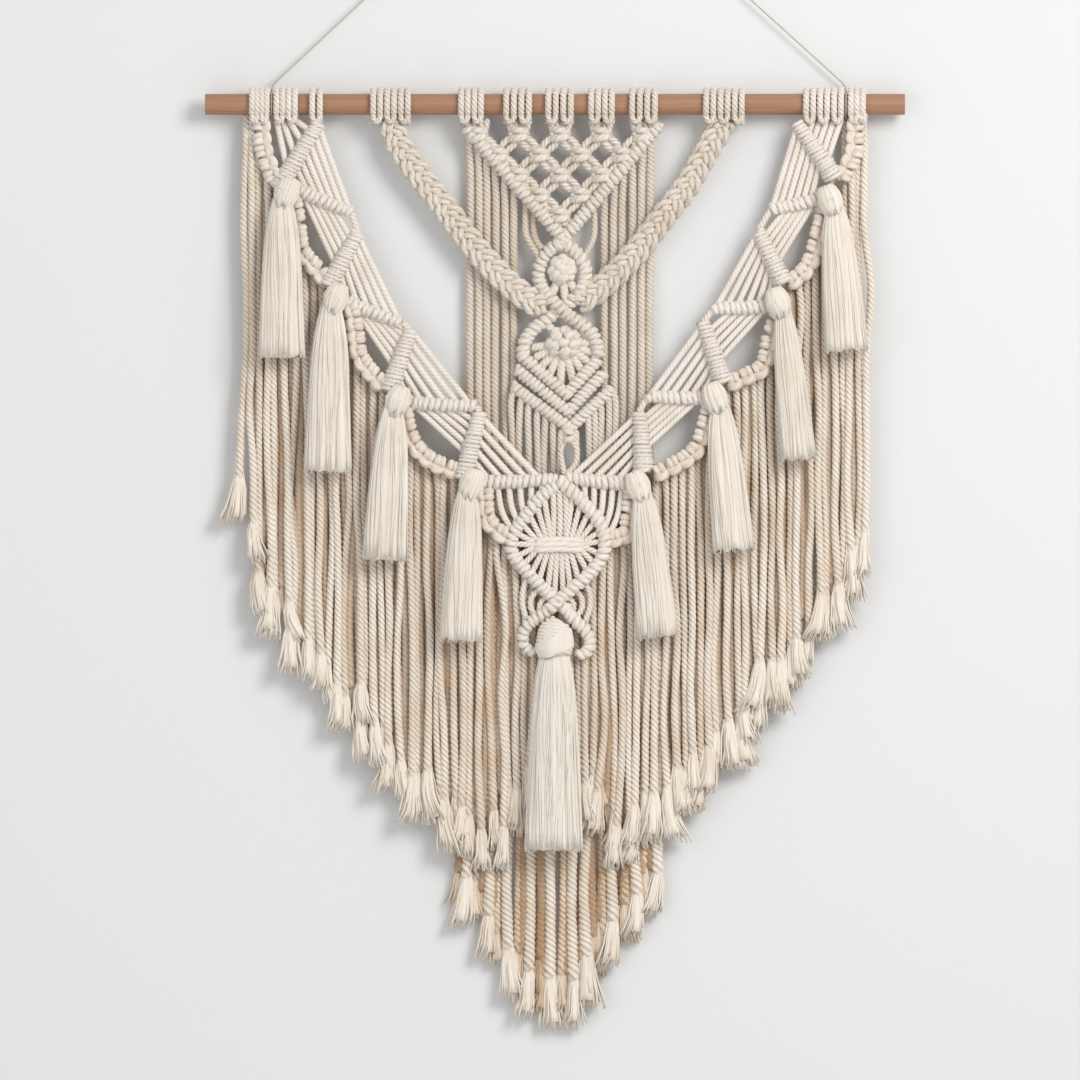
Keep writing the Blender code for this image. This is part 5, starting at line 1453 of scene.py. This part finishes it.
def rear_fringe(strip, columns):
    """The row behind: cords in the gaps, deeper in tone as painted shade, a little shorter than those in
    front.
    """
    made = []
    for k in columns:
        x = FRINGE_FIRST + FRINGE_PITCH * (k + 0.5)
        root = (x, height_at(strip, x), REAR_LAYER.out)
        end = end_at(FRINGE_ENDS, x) - rng.uniform(*REAR_SHORTER) - REAR_TUFT.length
        made += hanging_cord(root, x, end, REAR_LAYER, rng.normal(0.0, REAR_LEAN), REAR_TUFT)
    return made


LEFT_COUNT = math.ceil((FRINGE_MIDDLE - FRINGE_FIRST) / FRINGE_PITCH)
FRINGE_LOOK = (COTTON_FRINGE, "cotton_fringe")
make_piece("fringe_left_cords", front_fringe(LEFT_STRIP, range(LEFT_COUNT)), *FRINGE_LOOK, "fringe_left")
make_piece("fringe_right_cords", front_fringe(RIGHT_STRIP, range(LEFT_COUNT, FRINGE_COUNT)), *FRINGE_LOOK,
           "fringe_right")
make_piece("fringe_left_rear", rear_fringe(LEFT_STRIP, range(1, LEFT_COUNT)), *FRINGE_LOOK, "fringe_left")
make_piece("fringe_right_rear", rear_fringe(RIGHT_STRIP, range(LEFT_COUNT, FRINGE_COUNT - 2)), *FRINGE_LOOK,
           "fringe_right")

# %% [markdown]
# The back fringe is the same cords again, now in three rows that hang from the bar below the panel: thick
# pale ones in front, thinner ones between them in a deeper tone, and a close row behind that only shows
# in the gaps, painted brown as painted shade.

# %% Back fringe
BACK_ENDS = (
    (-80.0, 646.0), (-68.0, 657.0), (-58.0, 682.0), (-49.0, 700.0), (-30.0, 724.0), (-10.0, 735.0),
    (4.0, 739.0), (20.0, 734.0), (38.0, 711.0), (57.0, 680.0), (80.0, 648.0),
)
BACK_ASIDE = 1.6
BackRow = namedtuple("BackRow", "first pitch count layer shorter tuft")
# Row tones are painted shade: the rows further back lie in the shade of the front row, and the last is
# browner still.
BACK_ROWS = (
    BackRow(-69.0, 16.6, 10, Layer(8.8, 4.1, 0.08, THREE_PLY), (-5, 2), Tuft(34.0, 16.0, 44)),
    BackRow(-61.0, 16.6, 9, Layer(6.2, 3.7, 0.6, THREE_PLY), (0, 14), Tuft(30.0, 15.0, 36)),
    BackRow(-72.0, 8.3, 19, Layer(5.8, 4.4, 0.85, DEEP_SHADED_PLY), (6, 24), Tuft(28.0, 13.0, 16)),
)


def back_fringe():
    """Row after row, each cord a little aside of its even place."""
    made = []
    for row in BACK_ROWS:
        for k in range(row.count):
            x = row.first + row.pitch * k + rng.uniform(-BACK_ASIDE, BACK_ASIDE)
            end = end_at(BACK_ENDS, x) - rng.uniform(*row.shorter) - row.tuft.length
            root = (x, HEM_DOWN + 3, PANEL_OUT)
            made += hanging_cord(root, x, end, row.layer, rng.normal(0, BACK_ASIDE), row.tuft)
    return made


make_piece("fringe_back_cords", back_fringe(), *FRINGE_LOOK, "fringe_back")

# %% [markdown]
# A tassel is a bundle of untwisted threads folded over and bound. Its skirt is a grooved surface whose
# width grows fast at the neck and slowly below, with loose threads laid over it. Its head is the same
# again, short and fullest in the middle, because the thread that is drawn down over the knot runs on into
# the skirt.

# %% Skirts
SKIRT_SIDES = 72
SKIRT_RINGS = 22
RIPPLE = 0.055  # height of a bundle of threads, as a share of the radius
CUT_WAVE = 2.2  # unevenness of the cut edge
SKIRT_PROFILE = ((0.0, 0.38), (0.05, 0.47), (0.11, 0.60), (0.29, 0.76), (0.54, 0.88), (1.0, 1.0))
NECK_PROFILE = ((0.0, 0.46), (0.06, 0.58), (0.12, 0.64), (0.30, 0.76), (0.6, 0.88), (1.0, 1.0))


def ripples(turn, share):
    """Bundles of threads: six rounds of waves that drift as they go down, each with a start of its own."""
    wave = 0.0
    for count in rng.integers(8, 34, 6):
        drift, start = rng.uniform(-2.4, 2.4), rng.uniform(0, 2 * math.pi)
        wave = wave + np.cos(count * turn + drift * np.sin(2.4 * share + start) + start) / 3.4
    return np.clip(wave, -1, 1)


def skirt_tubes(top, end, half_width, half_depth, profile, threads, tone):
    """Skirt surface and loose threads between two world places. The surface is a tube whose radius, given by
    the profile, is scaled by 1 + RIPPLE * wave, and its grooves, where the wave is low, are given painted
    shade."""
    share = np.linspace(0, 1, SKIRT_RINGS)
    path = top + (end - top) * share[:, None]
    radius = half_width * np.interp(share, *zip(*profile))
    flat = half_depth / half_width
    section = round_section(SKIRT_SIDES)
    skirt = sweep(path, section, radius, flat=flat)
    wave = ripples(section.angle[None, :], share[:, None])
    axis = path[:, None]
    grid = axis + (skirt.grid - axis) * (1 + RIPPLE * wave)[..., None]
    grid[..., 2] += CUT_WAVE * np.cos(7 * section.angle + 1.0)[None, :] * share[:, None]**6
    # Painted shade in the grooves between the bundles of threads.
    made = [Tube(grid, skirt.girth, skirt.along, np.clip(0.24 - 0.5 * wave, 0, 1), tone)]
    _, side, front = directions(path, OUT)
    for _ in range(threads):
        start, drift = rng.uniform(0, 2 * math.pi), rng.uniform(-0.3, 0.3)
        wander = start + drift * share + 0.09 * np.sin(5 * share + 3 * start)
        reach = radius * rng.uniform(1.0, 1.035)
        aside, forward = reach * np.cos(wander), flat * reach * np.sin(wander)
        way = path + aside[:, None] * side + forward[:, None] * front
        way[-1] += DOWN * rng.uniform(-1.5, 3.5)
        thickness = rng.uniform(0.5, 0.8)
        made.append(sweep(rounded(way[::3], 14.0), THREAD, thickness, tone=tone + rng.uniform(-0.25, 0.1)))
    return made


# %% Tassels of the swag
TASSEL_OUT = 34.0
Tassel = namedtuple("Tassel", "name x down head_out end_x end_down width")
TASSELS = (
    Tassel("tassel_left_1", -218.4, 68.0, 31.9, -218.4, 200.5, 36.0),
    Tassel("tassel_left_2", -179.2, 152.5, 31.2, -181.6, 292.5, 37.0),
    Tassel("tassel_left_3", -129.6, 234.5, 32.1, -136.0, 362.9, 35.0),
    Tassel("tassel_left_4", -70.4, 301.0, 31.1, -75.2, 427.7, 33.0),
    Tassel("tassel_right_1", 224.0, 74.0, 32.5, 233.6, 195.7, 33.0),
    Tassel("tassel_right_2", 182.4, 156.0, 33.0, 195.2, 282.9, 27.0),
    Tassel("tassel_right_3", 132.0, 232.0, 31.1, 143.2, 355.7, 32.0),
    Tassel("tassel_right_4", 70.4, 303.0, 31.3, 82.4, 424.5, 32.0),
)
HEAD_LEAN = 8.0
HEAD_TOP = -9.0  # down from the tassel's place, as are neck and foot
HEAD_NECK = 7.0
HEAD_FOOT = 13.0
HEAD_THREADS = 30
SKIRT_DEPTH = 7.6
SKIRT_THREADS = 54
KNOB = (9.8, 7.8)  # half width and half depth of the head
KNOB_PROFILE = ((0.0, 0.60), (0.14, 0.80), (0.36, 0.97), (0.58, 1.0), (0.80, 0.88), (1.0, 0.64))


def small_tassel(row):
    """A head of drawn-down thread that leans over from the bar, and the skirt from inside it."""
    lean = -math.copysign(HEAD_LEAN, row.x)
    top = world([row.x + lean, row.down + HEAD_TOP, row.head_out - 1])
    neck = world([row.x, row.down + HEAD_NECK, row.head_out])
    foot = world([row.x, row.down + HEAD_FOOT, row.head_out])
    end = world([row.end_x, row.end_down, TASSEL_OUT])
    made = skirt_tubes(top, foot, *KNOB, KNOB_PROFILE, HEAD_THREADS, tone=0.08)
    return made + skirt_tubes(neck, end, row.width / 2, SKIRT_DEPTH, SKIRT_PROFILE, SKIRT_THREADS, tone=0.16)


for tassel in TASSELS:
    make_piece(f"{tassel.name}_threads", small_tassel(tassel), COTTON_TASSEL, "cotton_tassel", tassel.name)

# %% [markdown]
# The large tassel in the middle has a head like a turban. Two broad bands of smooth thread lie over an
# egg shape, one slanting each way, so each thread circles the egg on a tilted ring.

# %% Centre tassel
BIG_OUT = 31.0
BIG_TOP = (-0.4, 411.0)
BIG_NECK = (-0.4, 441.0)
BIG_END = (-0.8, 594.9)
BIG_HEAD = (13.8, 10.5)  # half width and half depth where it is widest
ONION = ((0.0, 0.12), (0.05, 0.40), (0.16, 0.70), (0.35, 0.90), (0.62, 1.0), (0.85, 0.98), (1.0, 0.82))
BIG_SKIRT = (22.8, 11.0)
BIG_THREADS = 96
INNER = 0.9  # size of the form under the bands
Band = namedtuple("Band", "tilt lift first last")  # lift scales the ring, first and last are its heights
BANDS = (Band(0.13, 0.95, 0.10, 0.80), Band(-0.20, 1.02, 0.52, 0.94))
BAND_THREADS = 9
BAND_CORD = 1.9
BAND_LAY = 40.0


def onion_tube():
    """The inner form of the head: narrow at the top and widest low down."""
    share = np.linspace(0.0, 1.0, 16)
    down = BIG_TOP[1] + (BIG_NECK[1] - BIG_TOP[1]) * share
    path = at(np.column_stack([np.full(16, BIG_TOP[0]), down]), BIG_OUT)
    radius = INNER * BIG_HEAD[0] * np.interp(share, *zip(*ONION))
    return sweep(path, round_section(28), radius, flat=BIG_HEAD[1] / BIG_HEAD[0], tone=0.1)


def band_tubes(band):
    """Threads side by side on tilted rings. A ring's height is level + tilt * cos(turn), as a share of the
    head, and its half width is that of the onion at that height."""
    top = world([BIG_TOP[0], BIG_TOP[1], BIG_OUT])
    height = BIG_NECK[1] - BIG_TOP[1]
    turn = np.linspace(0, 2 * math.pi, 33)
    made = []
    for level in np.linspace(band.first, band.last, BAND_THREADS):
        share = np.clip(level + band.tilt * np.cos(turn), 0, 1)
        wide = band.lift * np.interp(share, *zip(*ONION))
        aside, back = BIG_HEAD[0] * wide * np.cos(turn), -BIG_HEAD[1] * wide * np.sin(turn)
        way = top + np.stack([aside, back, -height * share], axis=1)
        made.append(twisted(way, BAND_CORD, BAND_LAY, SOFT_PLY, -DOWN, rng.uniform(-0.12, 0.06)))
    return made


def centre_tassel():
    """The turban, and the skirt that starts inside it."""
    made = [onion_tube()] + band_tubes(BANDS[0]) + band_tubes(BANDS[1])
    neck = world([BIG_NECK[0], BIG_NECK[1] - 4, BIG_OUT])
    end = world([*BIG_END, BIG_OUT])
    return made + skirt_tubes(neck, end, *BIG_SKIRT, NECK_PROFILE, BIG_THREADS, tone=-0.1)


make_piece("tassel_centre_threads", centre_tassel(), COTTON_TASSEL, "cotton_tassel", "tassel_centre")

# %% [markdown]
# The room is plain: a pale wall close behind, which only shows from the front, a pale floor far below, a
# broad soft light up to the right, a weaker one low on the left, and an even grey sky. The wall hides
# itself from behind, so that the back of the knots can be looked at. It is also clear for light that has
# only a few millimetres to go from the hanging's own back, or a wall so close would leave that back in
# the dark.

# %% Wall, floor and light
WALL_GAP = 2.0
WALL_CLEAR_WITHIN = 10.0  # for light that leaves a surface nearer than this
WALL_SIZE = (6.0, 4.0)
FLOOR_DOWN = 1900.0
PALE = srgb(226, 226, 226)


def make_paint(name):
    """Matt pale paint."""
    material, _, shader = new_material(name)
    shader.inputs["Base Color"].default_value = PALE
    shader.inputs["Roughness"].default_value = 0.9
    shader.inputs["Specular IOR Level"].default_value = 0.1
    return material


def hide_from_behind(material):
    """Clear where the wall is seen from behind, and for light that strays onto the hanging's own back."""
    tree = material.node_tree
    shader, output = tree.nodes["Principled BSDF"], tree.nodes["Material Output"]
    facing = node(tree, "ShaderNodeNewGeometry").outputs["Backfacing"]
    light = node(tree, "ShaderNodeLightPath").outputs
    near = maths(tree, "LESS_THAN", light["Ray Length"], WALL_CLEAR_WITHIN * MM)
    clear_for = maths(tree, "MAXIMUM", facing, maths(tree, "MULTIPLY", light["Is Diffuse Ray"], near))
    clear = node(tree, "ShaderNodeBsdfTransparent")
    choice = node(tree, "ShaderNodeMixShader")
    tree.links.new(clear_for, choice.inputs[0])
    tree.links.new(shader.outputs[0], choice.inputs[1])
    tree.links.new(clear.outputs[0], choice.inputs[2])
    tree.links.new(choice.outputs[0], output.inputs["Surface"])


def make_sheet(name, corners, material):
    """A flat sheet of the room, which is no part of the hanging."""
    mesh = bpy.data.meshes.new(name)
    mesh.from_pydata(corners, [], [(0, 1, 2, 3)])
    mesh.materials.append(material)
    sheet = bpy.data.objects.new(name, mesh)
    bpy.context.scene.collection.objects.link(sheet)


half, tall, behind = WALL_SIZE[0] / 2, WALL_SIZE[1] / 2, WALL_GAP * MM
middle_z = PICTURE_MIDDLE[1] * MM
wall_paint = make_paint("wall_paint")
hide_from_behind(wall_paint)
make_sheet("wall", [(-half, behind, middle_z - tall), (half, behind, middle_z - tall),
                    (half, behind, middle_z + tall), (-half, behind, middle_z + tall)], wall_paint)
floor_z = -FLOOR_DOWN * MM
make_sheet("floor", [(-half, -half, floor_z), (half, -half, floor_z), (half, half, floor_z),
                     (-half, half, floor_z)], make_paint("floor_paint"))

# %% Lights
LIT_PLACE = (0, 0, -0.45)
Lamp = namedtuple("Lamp", "name place size power colour")
LAMPS = (
    Lamp("window", (1.5, -2.4, 0.9), 1.3, 55.0, (1.0, 0.99, 0.97)),
    Lamp("fill", (-1.8, -2.8, -0.4), 2.4, 15.0, (0.98, 0.99, 1.0)),
)
SKY_COLOUR = (0.97, 0.985, 1.0, 1.0)
SKY_STRENGTH = 0.58


def make_light(lamp):
    """A square soft light that is turned towards the middle of the hanging."""
    data = bpy.data.lights.new(lamp.name, "AREA")
    data.size = lamp.size
    data.energy = lamp.power
    data.color = lamp.colour
    light = bpy.data.objects.new(lamp.name, data)
    light.location = lamp.place
    aim = np.array(LIT_PLACE) - np.array(lamp.place)
    flat_reach = math.hypot(aim[0], aim[1])
    light.rotation_euler = (math.atan2(flat_reach, -aim[2]), 0, math.atan2(aim[1], aim[0]) - math.pi / 2)
    bpy.context.scene.collection.objects.link(light)


bpy.context.scene.view_settings.view_transform = "Standard"
for lamp_row in LAMPS:
    make_light(lamp_row)
sky = bpy.data.worlds.new("sky")
sky.use_nodes = True
sky.node_tree.nodes["Background"].inputs["Color"].default_value = SKY_COLOUR
sky.node_tree.nodes["Background"].inputs["Strength"].default_value = SKY_STRENGTH
bpy.context.scene.world = sky
